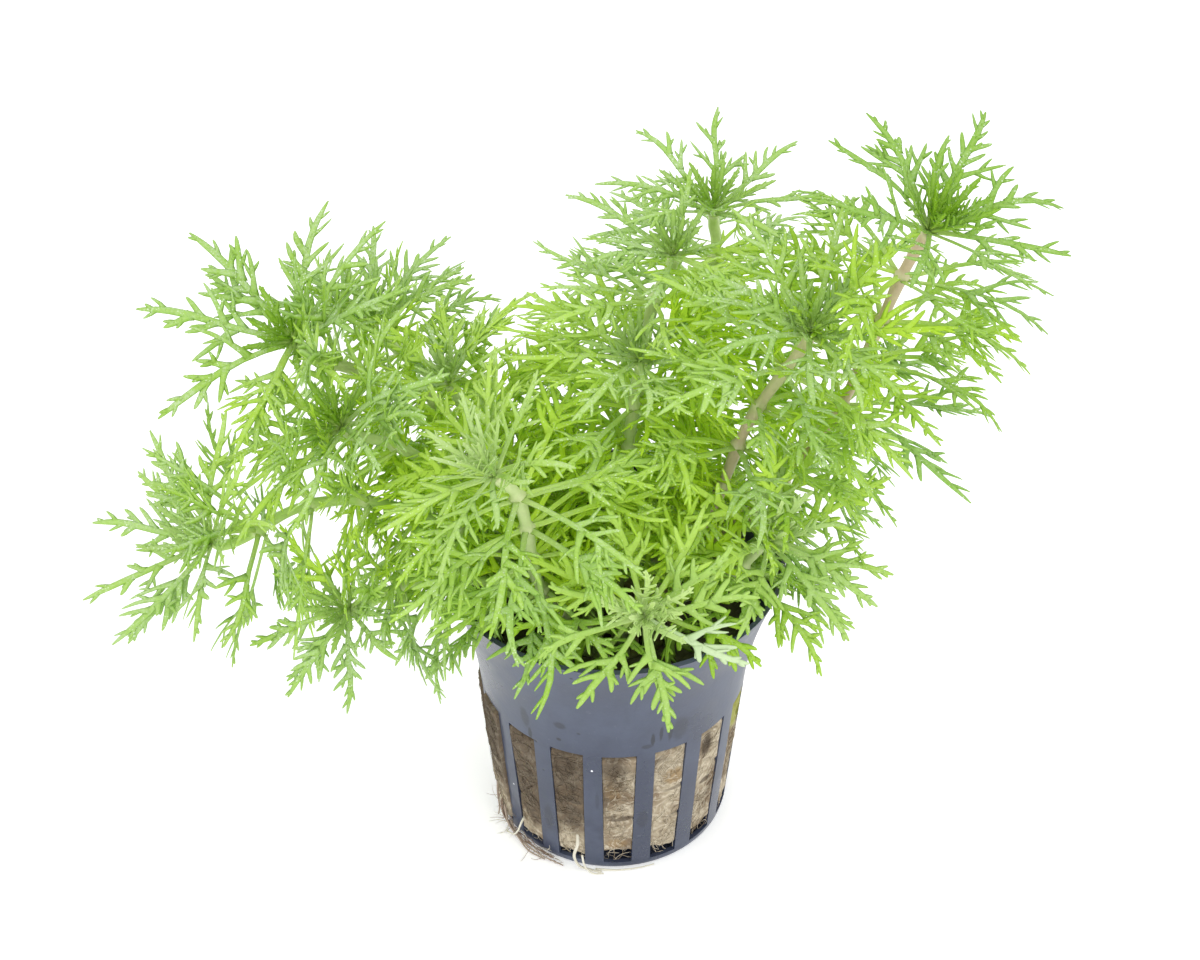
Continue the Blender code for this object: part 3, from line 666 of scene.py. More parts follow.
def strip_points(strips, stations, section):
    """Points of strips in the leaf's plane, as (strip, station, side, xyz).

    A strip's centre line is a curve of the second degree through its start, knee and end. Its half
    width grows smoothly from the neck to the belly and then falls to the tip as a power of one less
    the square of the share that is left: a low power gives a round end, a high one a sharp end. The
    tip is blunt. A flare at the start dies away. The section is carried along the line.
    """
    u = np.array(stations)[None, :]
    curve = strips[:, None, 0:2], strips[:, None, 2:4], strips[:, None, 4:6]
    centre = curve_place(*curve, u[..., None])
    slope = curve_slope(*curve, u[..., None])
    slope /= np.linalg.norm(slope, axis=2, keepdims=True)
    normal = np.stack([-slope[..., 1], slope[..., 0]], axis=-1)
    half, neck, belly, power, flare, thick, z0, z1 = (strips[:, k, None] for k in range(6, 14))
    early = np.clip(u / belly, 0.0, 1.0)
    late = np.clip((u - belly) / (1.01 - belly), 0.0, 1.0)
    shape = (neck + (1 - neck) * early ** 2 * (3 - 2 * early)) * (1 - late ** 2) ** power
    wide = np.maximum(half * shape + flare * np.exp(-u / FLARE_REACH), TIP_SHARE * half)
    deep = thick * (0.4 + 0.6 * (1 - late ** 2))
    height = z0 + (z1 - z0) * u
    out = np.zeros((len(strips), len(stations), len(section), 3))
    out[..., :2] = centre[:, :, None] + normal[:, :, None] * (wide[:, :, None] * section[:, 0])[..., None]
    out[..., 2] = height[:, :, None] + deep[:, :, None] * section[:, 1]
    return out


# The stations along a strip, as shares of its length
RIB_STATIONS = (0.0, 0.08, 0.2, 0.35, 0.5, 0.65, 0.78, 0.87, 0.95, 1.0)
LOBE_STATIONS = (0.0, 0.15, 0.4, 0.68, 0.9, 1.0)
TOOTH_STATIONS = (0.0, 0.45, 0.86, 1.0)


def strip_row(start, knee, end, half, neck, belly, power, flare, thick, z0=0.0, z1=0.0):
    """One strip's line and sizes in the order that strip_points reads them."""
    return (*start, *knee, *end, half, neck, belly, power, flare, thick, z0, z1)


def on_curve(start, knee, end, u):
    """The place and the heading at a share of a curve of the second degree in the plane."""
    curve = [np.array(point) for point in (start, knee, end)]
    slope = curve_slope(*curve, u)
    return curve_place(*curve, u), math.atan2(slope[1], slope[0])


def stride(spot, heading, reach):
    """The place in the plane that is so far from a spot on a heading."""
    return spot[0] + reach * math.cos(heading), spot[1] + reach * math.sin(heading)


def tooth(spot, heading, turn, reach, half, power, thick, z0=0.0, z1=0.0):
    """A short strip that leaves a place at an angle to the heading and bends back to it."""
    knee = stride(spot, heading + turn, 0.5 * reach)
    point = stride(knee, heading + 0.5 * turn, 0.5 * reach)
    return strip_row(spot, knee, point, half, 1.0, TOOTH_BELLY, power, TOOTH_FLARE, thick, z0, z1)


# Sizes of a leaf's plan. Lengths are shares of the leaf's, widths and thicknesses are in millimetres for
# a leaf of the usual length, and angles are in degrees.
USUAL_LENGTH = 20.0
STRIP_THICKNESS = 0.15
RIB_THICKER = 1.3
RIB_FLARE = 0.15
LOBES_END = 0.70
LOBE_MISSING = 0.06
LOBE_LAG = 0.42
LOBE_LENGTH = 0.37
LOBE_LOSS = 0.165
LOBE_HALF = 0.37
LOBE_LEAVES_AT = (40, 66)
LOBE_ENDS_AT = (16, 48)
TOOTH_FROM = (0.30, 0.44)
TOOTH_STEP = 0.19
TOOTH_LEAVES_AT = (34, 56)
TOOTH_LENGTH = (0.30, 0.46)
TOOTH_SHARE = 0.8
TOOTH_BELLY = 0.35
TOOTH_FLARE = 0.16

# The shortest lobes, in millimetres, that bear one tooth and two teeth
TOOTHED_FROM = 2.4
TWO_TEETH_FROM = 4.4

# The teeth at a leaf's end, as (place, length), how often one is missing, and what they are like
END_TEETH = [(0.70, 0.160), (0.78, 0.130), (0.855, 0.10), (0.915, 0.07)]
END_TOOTH_MISSING = 0.2
END_TOOTH_LEAVES_AT = (34, 54)
END_TOOTH_HALF = 0.31


def tooth_count(dice, size):
    """How many teeth a lobe bears."""
    if size < TOOTHED_FROM:
        return 0
    return dice.choice((0, 1, 1)) if size < TWO_TEETH_FROM else dice.choice((1, 2, 2))


def plan_leaf(dice, length, pairs, petiole, broad, blunt, bury, full):
    """The strips of one leaf: its midrib, its side lobes, and the teeth.

    Side lobes leave the midrib by turns, each with a web in its corner, and bend forward a little.
    Lobes grow shorter towards the tip. Teeth stand on the longer lobes and by turns along the leaf's
    end. A full leaf, near the tip of a shoot, has a broader midrib and shorter lobes than an open one,
    and a leaf broader than the usual has its lobes fanned out.
    """
    scale = math.sqrt(length / USUAL_LENGTH)
    thick = STRIP_THICKNESS * scale
    power = 0.95 - 0.5 * blunt
    stalk = 0.29 + 0.05 * broad
    middle = 0.27 + 0.19 * broad + 0.42 * full
    fan = max(0.0, broad - 1.0)
    web = 0.08 + 0.42 * broad
    belly = 0.5 + 0.2 * blunt
    ribs = [strip_row((-bury, 0), (length * 0.5, 0), (length, 0), middle * scale, stalk / middle,
                      0.72 - 0.12 * full, power, RIB_FLARE, thick * RIB_THICKER)]
    lobes = []
    teeth = []
    room = LOBES_END - petiole
    early = dice.choice((1, -1))
    for i in range(pairs):
        share = i / max(1, pairs - 1)
        for side in (1, -1):
            if dice.random() < LOBE_MISSING:
                continue
            later = LOBE_LAG if side == early else 0.0
            x = length * (petiole + room * (i + later + dice.uniform(-0.12, 0.12)) / pairs)
            size = LOBE_LENGTH + 0.2 * fan - LOBE_LOSS * share - 0.12 * full
            size = length * size * dice.uniform(0.7, 1.2)
            wide = math.radians(dice.uniform(*LOBE_LEAVES_AT) + 30 * fan - 12 * full)
            ahead = math.radians(dice.uniform(*LOBE_ENDS_AT))
            start = (x, 0.0)
            knee = stride(start, side * wide, size * 0.5)
            end = stride(knee, side * ahead, size * 0.55)
            half = LOBE_HALF * broad * scale * dice.uniform(0.85, 1.2)
            lift = size * dice.uniform(-0.3, 0.35)
            lobes.append(strip_row(start, knee, end, half, 1.0, belly, power, web, thick, 0, lift))
            count = tooth_count(dice, size)
            first = dice.choice((1, -1))
            for k in range(count):
                u = dice.uniform(*TOOTH_FROM) + TOOTH_STEP * k
                spot, heading = on_curve(start, knee, end, u)
                turn = side * first * (1 if k == 0 else -1) * math.radians(dice.uniform(*TOOTH_LEAVES_AT))
                reach = size * dice.uniform(*TOOTH_LENGTH) * (1.1 - 0.22 * k)
                teeth.append(tooth(spot, heading, turn, reach, half * TOOTH_SHARE, power, thick, lift * u,
                                   lift * u + reach * dice.uniform(-0.15, 0.3)))
    for u, share in END_TEETH:
        side = early
        early = -early
        if dice.random() < END_TOOTH_MISSING:
            continue
        reach = length * share * dice.uniform(0.75, 1.2)
        spot = (length * (u + dice.uniform(-0.02, 0.02)), 0.0)
        turn = side * math.radians(dice.uniform(*END_TOOTH_LEAVES_AT))
        teeth.append(tooth(spot, 0.0, turn, reach, END_TOOTH_HALF * broad * scale, power, thick))
    return [(np.array(ribs), RIB_STATIONS, RIBBED), (np.array(lobes), LOBE_STATIONS, RIBBED),
            (np.array(teeth), TOOTH_STATIONS, PLAIN)]


# The room that leaves keep to the pot's wall and over its rim, and the steps that a leaf's axis is
# followed in to find the rim
WALL_ROOM = 0.25
RIM_STEPS = 32


def over_the_wall(start, knee, end):
    """How far along a leaf's axis it leaves the pot over the rim: below 0 for a leaf that starts
    outside, and 2 for one that never does or that would go through the wall."""
    t = np.linspace(0, 1, RIM_STEPS + 1)[:, None]
    place = curve_place(start, knee, end, t)
    height = place[:, 2]
    wall = pot_radius(np.clip(height, 0, POT_HEIGHT)) - POT_WALL / 2
    beyond = np.hypot(place[:, 0], place[:, 1]) > wall
    first = int(np.argmax(beyond))
    if not beyond.any():
        return 2.0
    if first == 0:
        return -1.0
    return float(t[first, 0]) if height[first] > POT_HEIGHT else 2.0


def clear_of_wall(points, within):
    """Points below the rim, moved level to the side of the pot's wall that they belong on."""
    outside = pot_radius(np.clip(points[..., 2], 0, POT_HEIGHT))
    inside = outside - POT_WALL
    away = np.hypot(points[..., 0], points[..., 1])
    moved = np.where(within, np.minimum(away, inside - WALL_ROOM), np.maximum(away, outside + WALL_ROOM))
    moved = np.where(points[..., 2] < POT_HEIGHT + WALL_ROOM, moved, away)
    share = moved / np.maximum(away, 0.01)
    return points * np.stack([share, share, np.ones_like(share)], axis=-1)


# The side that the light comes from, what share of the way leaves turn their faces to it, and the
# most that they turn
LIGHT_SIDE = np.array([0.0, -0.78, 0.62])
TURN_SHARE = 0.5
TURN_MOST = math.radians(16)

# Ranges of a leaf's own forms, which carry_leaf describes, and how fast its sway goes to and fro, in
# radians over its length
VEE = (-0.05, 0.3)
ARCH = (0.0, 0.05)
BEND = (-0.22, 0.22)
BOW = (-0.01, 0.09)
SWAY = (-0.05, 0.05)
SWAY_WAVE = 7.0


def faced(side, slope):
    """A leaf's side direction, turned about its axis so that a face of it looks more to the light."""
    slope = slope / np.linalg.norm(slope)
    across = side - slope * (slope @ side)
    across /= np.linalg.norm(across)
    upper = np.cross(slope, across)
    a, b = upper @ LIGHT_SIDE, across @ LIGHT_SIDE
    off = math.atan2(2 * a * b, a * a - b * b) / 2
    turn = min(TURN_MOST, max(-TURN_MOST, TURN_SHARE * off))
    return across * math.cos(turn) - upper * math.sin(turn)


def carry_leaf(leaf, plan, vee, arch, bend, bow, sway):
    """A planned leaf carried along its axis in space, with its faces, and each point's share of the
    leaf's length and of the way to the edge of its strip.

    A point at x along, y across and z over the leaf goes to the axis at x over the length, plus y
    times the side and z times the upward direction there. Before that z is raised by vee times y and
    by a hump of the bow's height along the leaf, and lowered by arch times y squared, and y is
    shifted by bend times x squared and by a sine wave of the sway's height. The side is first turned
    a little to the light, and the points keep clear of the pot's wall.
    """
    start, knee, end, side = (np.array(v) for v in (leaf.start, leaf.knee, leaf.end, leaf.side))
    side = faced(side, end - start)
    crossing = over_the_wall(start, knee, end)
    points, quads, reach, edge = [], [], [], []
    count = 0
    for strips, stations, section in plan:
        if not len(strips):
            continue
        flat = strip_points(strips, stations, section)
        t = flat[..., 0] / leaf.length
        y = flat[..., 1]
        z = flat[..., 2] + vee * np.abs(y) - arch * y * y
        z = z + bow * leaf.length * 4 * np.clip(t, 0, 1) * (1 - np.clip(t, 0, 1))
        y = y + bend * flat[..., 0] * t + sway * flat[..., 0] * np.sin(SWAY_WAVE * t)
        t = t[..., None]
        slope = curve_slope(start, knee, end, t)
        slope /= np.linalg.norm(slope, axis=-1, keepdims=True)
        across = side - slope * (slope @ side)[..., None]
        across /= np.linalg.norm(across, axis=-1, keepdims=True)
        upper = np.cross(slope, across)
        carried = curve_place(start, knee, end, t) + across * y[..., None] + upper * z[..., None]
        points.append(clear_of_wall(carried, t[..., 0] < crossing).reshape(-1, 3))
        each = len(stations) * len(section)
        first = count + np.arange(len(strips)) * each
        faces = strip_quads(len(stations), len(section))
        quads.append((faces[None] + first[:, None, None]).reshape(-1, 4))
        reach.append(t.reshape(-1))
        edge.append(np.broadcast_to(section[:, 2], flat.shape[:3]).reshape(-1))
        count += len(strips) * each
    return np.concatenate(points), np.concatenate(quads), np.concatenate(reach), np.concatenate(edge)


class Heap:
    """Gathers points, faces and point values of many small shapes into one mesh."""

    def __init__(self, keys):
        self.points = []
        self.quads = []
        self.values = {key: [] for key in keys}
        self.count = 0

    def put(self, points, quads, **values):
        self.points.append(points)
        self.quads.append(quads + self.count)
        for key, value in values.items():
            self.values[key].append(np.broadcast_to(value, len(points)))
        self.count += len(points)

    def mesh(self, name):
        values = {key: np.concatenate(value) for key, value in self.values.items()}
        return make_mesh(name, np.concatenate(self.points), np.concatenate(self.quads), values)


# The values that a leaf's points carry to its material
LEAF_KEYS = ("tone", "warmth", "depth", "youth", "pale", "reach", "edge", "shade", "bleach")

# How far leaves stay inside the model's box, and how they are shortened until they do
SAFE_EDGE = 0.15
SHORTER = 0.96
SHORTENINGS = 12

# How far off other leaves count as round a leaf, and how evenly they must stand on all its sides to
# leave it in the open or to close it in
SHADE_REACH = 22.0
SHADE_EVEN = (0.45, 0.80)

# The turn between one young leaf and the next, so that none stands over another
GOLDEN_TURN = 2.39996

# The youngest leaves' lean from the shoot in degrees and their length as a share of the ring's, for the
# outermost and the innermost leaf: in a fan and in a star
YOUNG_IN_FAN = np.array([(44, 0.76), (10, 0.32)])
YOUNG_IN_STAR = np.array([(76, 0.48), (18, 0.20)])

# The youngest leaves' sag, their stalks' share and how far their feet are buried, and how long one is
# at least that has three pairs of lobes
YOUNG_SAG = -0.15
YOUNG_STALK = 0.22
YOUNG_BURY = 0.8
YOUNG_LONG = 4.5

# In a crown and in a whorl: the range of the leaf stalk's share of a leaf, how far a leaf's foot is
# buried in the ring, how young its leaves are and how much of the shoot's paleness they have
CROWN_LEAVES = dict(stalk=(0.24, 0.34), bury=1.4, youth=0.25, pale=0.7)
WHORL_LEAVES = dict(stalk=(0.34, 0.46), bury=1.1, youth=0.0, pale=0.2)

# How long a leaf is at least that may have three pairs of lobes, and how broad its lobes are at most
LONG_LEAF = 12
SLIM_LEAF = 1.1

# Leaves that have lost their green, as (ring, number)
BLEACHED = [("crown_l", 7)]


def inside_box(points):
    low, high = (np.array(v) / MM for v in CAD_BOX)
    return bool((points >= low + SAFE_EDGE).all() and (points <= high - SAFE_EDGE).all())


def put_leaf(heap, dice, leaf, habit, pairs, petiole, bury, youth=0.0, pale=0.0, shade=0.0, bleach=0.0):
    """Plans one leaf and puts it in the heap, a little shorter where it would leave the model's box."""
    full = max(youth - 0.1, dice.uniform(0.0, 0.3) if youth else dice.uniform(0.0, 0.15))
    plan = plan_leaf(dice, leaf.length, pairs, petiole, habit["broad"], habit["blunt"], bury, full)
    vee = dice.uniform(*VEE)
    arch = dice.uniform(*ARCH)
    bend = dice.uniform(*BEND) * (1 - youth)
    bow = dice.uniform(*BOW) * (1 - youth)
    sway = dice.uniform(*SWAY) * (1 - youth)
    tone = dice.random()
    for _ in range(SHORTENINGS):
        points, quads, reach, edge = carry_leaf(leaf, plan, vee, arch, bend, bow, sway)
        if inside_box(points):
            break
        leaf.knee = leaf.start + (leaf.knee - leaf.start) * SHORTER
        leaf.end = leaf.start + (leaf.end - leaf.start) * SHORTER
    heap.put(points, quads, tone=tone, warmth=habit["warmth"], depth=habit["depth"], youth=youth, pale=pale,
             reach=np.clip(reach / petiole, 0, 1), edge=edge, shade=shade, bleach=bleach)


def young_leaves(ring, dice, heap, habit, count):
    """Short leaves round the tip: the further in, the shorter and the steeper they are.

    In a star they spread wide and are short and broad. In a fan they are longer, narrow and upright.
    """
    star = habit["star"]
    shaped = dict(habit, broad=min(1.1, habit["broad"]) * (0.85 + 0.2 * star))
    count = round(count * (1 - 0.4 * habit["pale"]))
    outermost, innermost = YOUNG_IN_FAN + (YOUNG_IN_STAR - YOUNG_IN_FAN) * star
    for i in range(count):
        inner = i / count
        out = ring.outward(ring.turn + GOLDEN_TURN * i)
        lean, size = outermost + (innermost - outermost) * inner
        pitch = math.radians(lean + dice.uniform(-7, 7))
        length = ring.length * size * dice.uniform(0.8, 1.2)
        start = ring.place + out * (1.0 - 0.7 * inner) + ring.axis * (0.8 + 1.2 * inner)
        leaf = Leaf(start, out, ring.axis, pitch, YOUNG_SAG, length, dice.uniform(-0.3, 0.3), 1, 1.0)
        youth = (0.25 + 0.5 * star) * (1 - inner) + inner
        pairs = 3 if length > YOUNG_LONG else 2
        put_leaf(heap, dice, leaf, shaped, pairs, YOUNG_STALK, YOUNG_BURY, youth, habit["pale"])


def leaf_shades(rings):
    """How deep each leaf lies in the bunch, from 0 to 1.

    It is one less the length of the mean direction to the leaves around: outer leaves have them all
    on one side, and inner leaves have them on every side.
    """
    middles = np.array([tuple(leaf.at(0.6)) for ring in rings for leaf in ring.leaves])
    away = middles[None, :, :] - middles[:, None, :]
    far = np.linalg.norm(away, axis=-1)
    near = (far < SHADE_REACH) & (far > 0)
    unit = away / np.maximum(far, 1e-6)[..., None] * near[..., None]
    even = 1 - np.linalg.norm(unit.sum(axis=1), axis=-1) / np.maximum(near.sum(axis=1), 1)
    low, high = SHADE_EVEN
    return np.clip((even - low) / (high - low), 0, 1)


def build_leaves(settings):
    """Every ring of leaves as one piece. Rings further down the stems stand for no CAD node."""
    rings = plant()[1]
    shades = iter(leaf_shades(rings))
    materials = {0: leaf_material("crown_leaves", settings), 1: leaf_material("whorl_leaves", settings)}
    for ring in rings:
        habit = HABIT[ring.name.split("_")[1][0]]
        habit = dict(habit, broad=habit["broad"] * settings.lobe_breadth)
        dice = random.Random(ring.name)
        heap = Heap(LEAF_KEYS)
        crown = ring.order == 0
        form = CROWN_LEAVES if crown else WHORL_LEAVES
        pale = habit["pale"] * form["pale"]
        for index, leaf in enumerate(ring.leaves):
            many = leaf.length > LONG_LEAF and habit["broad"] < SLIM_LEAF
            pairs = dice.choice((2, 3, 3)) if many else 2
            petiole = dice.uniform(*form["stalk"]) + 0.3 * max(0.0, habit["broad"] - 1.0)
            bleach = 1.0 if (ring.name, index) in BLEACHED else 0.0
            put_leaf(heap, dice, leaf, habit, pairs, petiole, form["bury"], form["youth"], pale,
                     next(shades), bleach)
        if crown:
            young_leaves(ring, dice, heap, habit, settings.young_count)
        nodes = [] if ring.name.startswith("low") else [ring.name]
        if heap.count:
            add_piece(heap.mesh("leaves_" + ring.name), materials[min(1, ring.order)], nodes)


# Stems

# The sides and steps of a stem, how far apart its lower nodes are, how far a node's ring and the thinner
# tip reach along it, and the radius that closes a tube's end
STEM_SIDES = 18
STEM_STEP = 0.45
NODE_SPACING = 7.5
NODE_REACH = 0.55
TIP_REACH = 1.2
TUBE_END = 0.004


def tube_frames(path):
    """For each point of a path: unit vectors (u, v) across it, carried along without sudden turns."""
    ahead = np.gradient(path, axis=0)
    ahead /= np.linalg.norm(ahead, axis=1, keepdims=True)
    u = np.zeros_like(path)
    first = np.cross((0.0, 0.0, 1.0), ahead[0])
    if np.linalg.norm(first) < 0.05:
        first = np.array((1.0, 0.0, 0.0))
    u[0] = first / np.linalg.norm(first)
    for i in range(1, len(path)):
        carried = u[i - 1] - ahead[i] * (u[i - 1] @ ahead[i])
        u[i] = carried / np.linalg.norm(carried)
    return u, np.cross(ahead, u)


def closed_tube(path, radius, sides, lobes=0.0, folds=0):
    """Points and faces of a tube: the path plus the radius times a circle, ridged by a cosine round it.

    Each end is closed by one more ring with almost no radius, just beyond it.
    """
    path = np.concatenate([path[:1], path, path[-1:]])
    path[0] -= (path[2] - path[1]) * 0.02
    path[-1] += (path[-2] - path[-3]) * 0.02
    radius = np.concatenate([[TUBE_END], radius, [TUBE_END]])
    u, v = tube_frames(path)
    a = np.arange(sides) * math.tau / sides
    r = radius[:, None] * (1 + lobes * np.cos(folds * a))[None, :]
    points = path[:, None] + u[:, None] * (r * np.cos(a))[..., None] + v[:, None] * (r * np.sin(a))[..., None]
    return points.reshape(-1, 3), grid_quads(len(path), sides, True)


def build_stems(settings):
    """Jointed stems: each length between two nodes is a cone that widens upward to a ringed node.

    Nodes stand where the whorls grow, and evenly spaced below the last of them.
    """
    stems, rings = plant()
    material = stem_material(settings)
    base = settings.radius / MM
    for key, points in stems.items():
        path = np.array([tuple(p) for p in smooth_route(points, STEM_STEP)])
        step = np.linalg.norm(np.diff(path, axis=0), axis=1)
        below = np.concatenate([np.cumsum(step[::-1])[::-1], [0.0]])
        nodes = [0.0]
        for ring in rings:
            if ring.name.startswith("whorl_" + key):
                nodes.append(below[np.argmin(np.linalg.norm(path - np.array(ring.place), axis=1))])
        while nodes[-1] + NODE_SPACING < below[0]:
            nodes.append(nodes[-1] + NODE_SPACING)
        nodes = np.array(nodes + [below[0] + NODE_SPACING])
        which = np.clip(np.searchsorted(nodes, below, side="right") - 1, 0, len(nodes) - 2)
        rise = 1.0 - (below - nodes[which]) / (nodes[which + 1] - nodes[which])
        ringed = np.exp(-(np.abs(below[:, None] - nodes[None, :]).min(axis=1) / NODE_REACH) ** 2)
        habit = HABIT[key]
        radius = base * (0.84 + 0.16 * habit["light"]) * (0.84 + 0.30 * rise ** 1.6 + 0.24 * ringed)
        radius *= 1.0 - 0.35 * np.exp(-below / TIP_REACH)
        tube, quads = closed_tube(path, radius, STEM_SIDES, lobes=0.035, folds=6)
        values = {"node": np.repeat(np.concatenate([[0.0], ringed, [0.0]]), STEM_SIDES),
                  "blush": np.full(len(tube), habit["pink"]),
                  "light": np.full(len(tube), habit["light"])}
        add_piece(make_mesh("stalk_" + key, tube, quads, values), material, ["stem_" + key])


# Pot

# The rounding between the wall and the floor, how far in the floor's edge is, how far the wall's sheet
# reaches under it, and the floor's height
POT_CORNER = 0.7
POT_EDGE = 2.0
SHEET_OVERLAP = 0.2
FLOOR_LEVEL = 0.04

# The columns of a slot and of the bar beside it, in the wall and in the floor
WALL_COLUMNS = (6, 5)
FLOOR_COLUMNS = (4, 6)


def slot_half(height):
    """Half a slot's width at a height, in degrees."""
    rise = np.clip((height - SLOT_BOTTOM) / (SLOT_TOP - SLOT_BOTTOM), 0, 1)
    return (SLOT_ANGLE_BOTTOM + (SLOT_ANGLE_TOP - SLOT_ANGLE_BOTTOM) * rise) / 2


def slotted_sheet(radius, height, half, first_slot, count, columns, rows):
    """Rings of points round the axis with their faces, and slots left open between two of the rings.

    Each slot is twice as wide as half, which has an angle in degrees for each ring. The columns lean
    to follow the slots' sides, and the first slot's middle is at the angle first_slot.
    """
    in_slot, in_bar = columns
    pitch = 360.0 / count
    slot = np.linspace(-1, 1, in_slot + 1)[:-1]
    bar = np.linspace(0, 1, in_bar + 1)[:-1]
    within = np.concatenate([half[:, None] * slot, half[:, None] + (pitch - 2 * half[:, None]) * bar], axis=1)
    centres = first_slot + pitch * np.arange(count)
    angle = np.radians((centres[None, :, None] + within[:, None, :]).reshape(len(radius), -1))
    points = round_axis(radius[:, None], angle, height[:, None]).reshape(-1, 3)
    quads = grid_quads(len(radius), angle.shape[1], True)
    row, column = np.divmod(np.arange(len(quads)), angle.shape[1])
    opening = (column % (in_slot + in_bar) < in_slot) & (row >= rows[0]) & (row < rows[1])
    return points, quads[~opening]


def pot_surface():
    """The pot's outside as one sheet whose points stand at pot_radius(height) round the axis.

    Its rows follow the slots' ends. Below the wall it turns in on a quarter circle to the floor's edge.
    """
    turn = np.linspace(0, math.pi / 2, 5)
    rows = [(POT_BASE_RADIUS - POT_EDGE - SHEET_OVERLAP, 0.0)]
    rows += [(POT_BASE_RADIUS - POT_CORNER + POT_CORNER * math.sin(a), POT_CORNER - POT_CORNER * math.cos(a))
             for a in turn]
    low = np.linspace(POT_CORNER, SLOT_BOTTOM, 3)[1:]
    middle = np.linspace(SLOT_BOTTOM, SLOT_TOP, 15)[1:]
    high = np.linspace(SLOT_TOP, POT_HEIGHT, 16)[1:]
    rows += [(pot_radius(z), z) for z in (*low, *middle, *high)]
    first = len(turn) + len(low)
    radius, height = np.array(rows).T
    return slotted_sheet(radius, height, slot_half(height), SLOT_TURN - 90, SLOT_COUNT, WALL_COLUMNS,
                         (first, first + len(middle)))


def floor_surface():
    """The pot's floor as a sheet of rings whose slots have straight sides."""
    along = np.linspace(FLOOR_SLOT_INNER, FLOOR_SLOT_OUTER, 9)
    radius = np.concatenate([[0.02, 3.0], along, [POT_BASE_RADIUS - POT_EDGE]])
    half = np.arcsin(np.minimum(0.9, FLOOR_SLOT_WIDTH / 2 / np.maximum(radius, FLOOR_SLOT_INNER)))
    first_slot = SLOT_TURN - 90 + 180.0 / FLOOR_SLOT_COUNT
    return slotted_sheet(radius, np.full(len(radius), FLOOR_LEVEL), np.degrees(half), first_slot,
                         FLOOR_SLOT_COUNT, FLOOR_COLUMNS, (2, 1 + len(along)))


def build_pot(settings):
    """The pot's wall and floor as one sheet, given its thickness and its rounded edges by modifiers."""
    wall, wall_quads = pot_surface()
    floor, floor_quads = floor_surface()
    points = np.concatenate([wall, floor])
    mesh = make_mesh("slotted_pot", points, np.concatenate([wall_quads, floor_quads + len(wall)]))
    pot = add_piece(mesh, pot_material(settings), ["net_pot"])
    solid = pot.modifiers.new("wall", "SOLIDIFY")
    solid.thickness = settings.wall
    solid.offset = -1.0
    solid.use_even_offset = True
    edge = pot.modifiers.new("soft edges", "BEVEL")
    edge.width = settings.edge
    edge.segments = 2
    edge.limit_method = "ANGLE"
    edge.angle_limit = math.radians(50)
    edge.harden_normals = True


# Rockwool


def soft_noise(x, y, seed, octaves=3):
    """A smooth wavy value from about -1 to 1: sines of growing frequency at turned, shifted places."""
    dice = np.random.default_rng(seed)
    total = np.zeros(np.broadcast(x, y).shape)
    for k in range(octaves):
        for _ in range(3):
            a, p, q = dice.uniform(0, math.tau, 3)
            f = 2.0 ** k
            total += np.sin(f * (x * math.cos(a) + y * math.sin(a)) + p + 0.6 * np.sin(f * y + q)) / f / 3
    return total / 1.2


# How far the wool presses behind a bar, and the width of its edge there, in degrees, and the height
# over which it swells out at a slot's two ends
SLOT_PRESS = 0.05
SLOT_EDGE = 0.15
SLOT_SWELL = 0.8


def slot_share(angle, height):
    """How far inside a slot a place on the side is: 1 in its middle, 0 at its edge and on the bars."""
    pitch = 360.0 / SLOT_COUNT
    off = (np.degrees(angle) - SLOT_TURN + 90 + pitch / 2) % pitch - pitch / 2
    side = np.clip((slot_half(height) + SLOT_PRESS - np.abs(off)) / SLOT_EDGE, 0, 1)
    room = np.minimum(height - SLOT_BOTTOM, SLOT_TOP - height)
    return side * np.clip(room / SLOT_SWELL, 0, 1)


# How far the wool stands out in a slot, and the slots where it stands out further, counted round from
# the front one, with how much further
STANDS_OUT = 1.22
BULGING_SLOTS = (-4, -3)
BULGE = 0.65

# Folds in the wool, as (angle, height, rise a degree, reach to each side in degrees, depth), with half
# their width, and how far down and how deep their lower lips stay pressed in
FOLD_HALF = 0.4
LIP_REACH = 1.2
LIP_DEPTH = 0.35
FOLDS = [(-86.5, 13.0, -0.13, 7.5, 0.50), (-62.5, 18.2, -0.08, 7.5, 0.35), (-60.5, 10.5, 0.22, 7.0, 0.35),
         (-108.5, 9.0, 0.25, 7.0, 0.35), (-132.5, 14.0, 0.4, 7.0, 0.40), (-40.0, 19.0, -0.3, 7.0, 0.40),
         (30.0, 15.0, 0.1, 8.0, 0.4), (95.0, 12.0, -0.1, 8.0, 0.4), (160.0, 17.0, 0.15, 8.0, 0.4)]

# How far up the wool ends at the right and at the left of the front, and where one becomes the other
WOOL_END_RIGHT = 4.2
WOOL_END_LEFT = 2.7
WOOL_END_TURN = -98.0


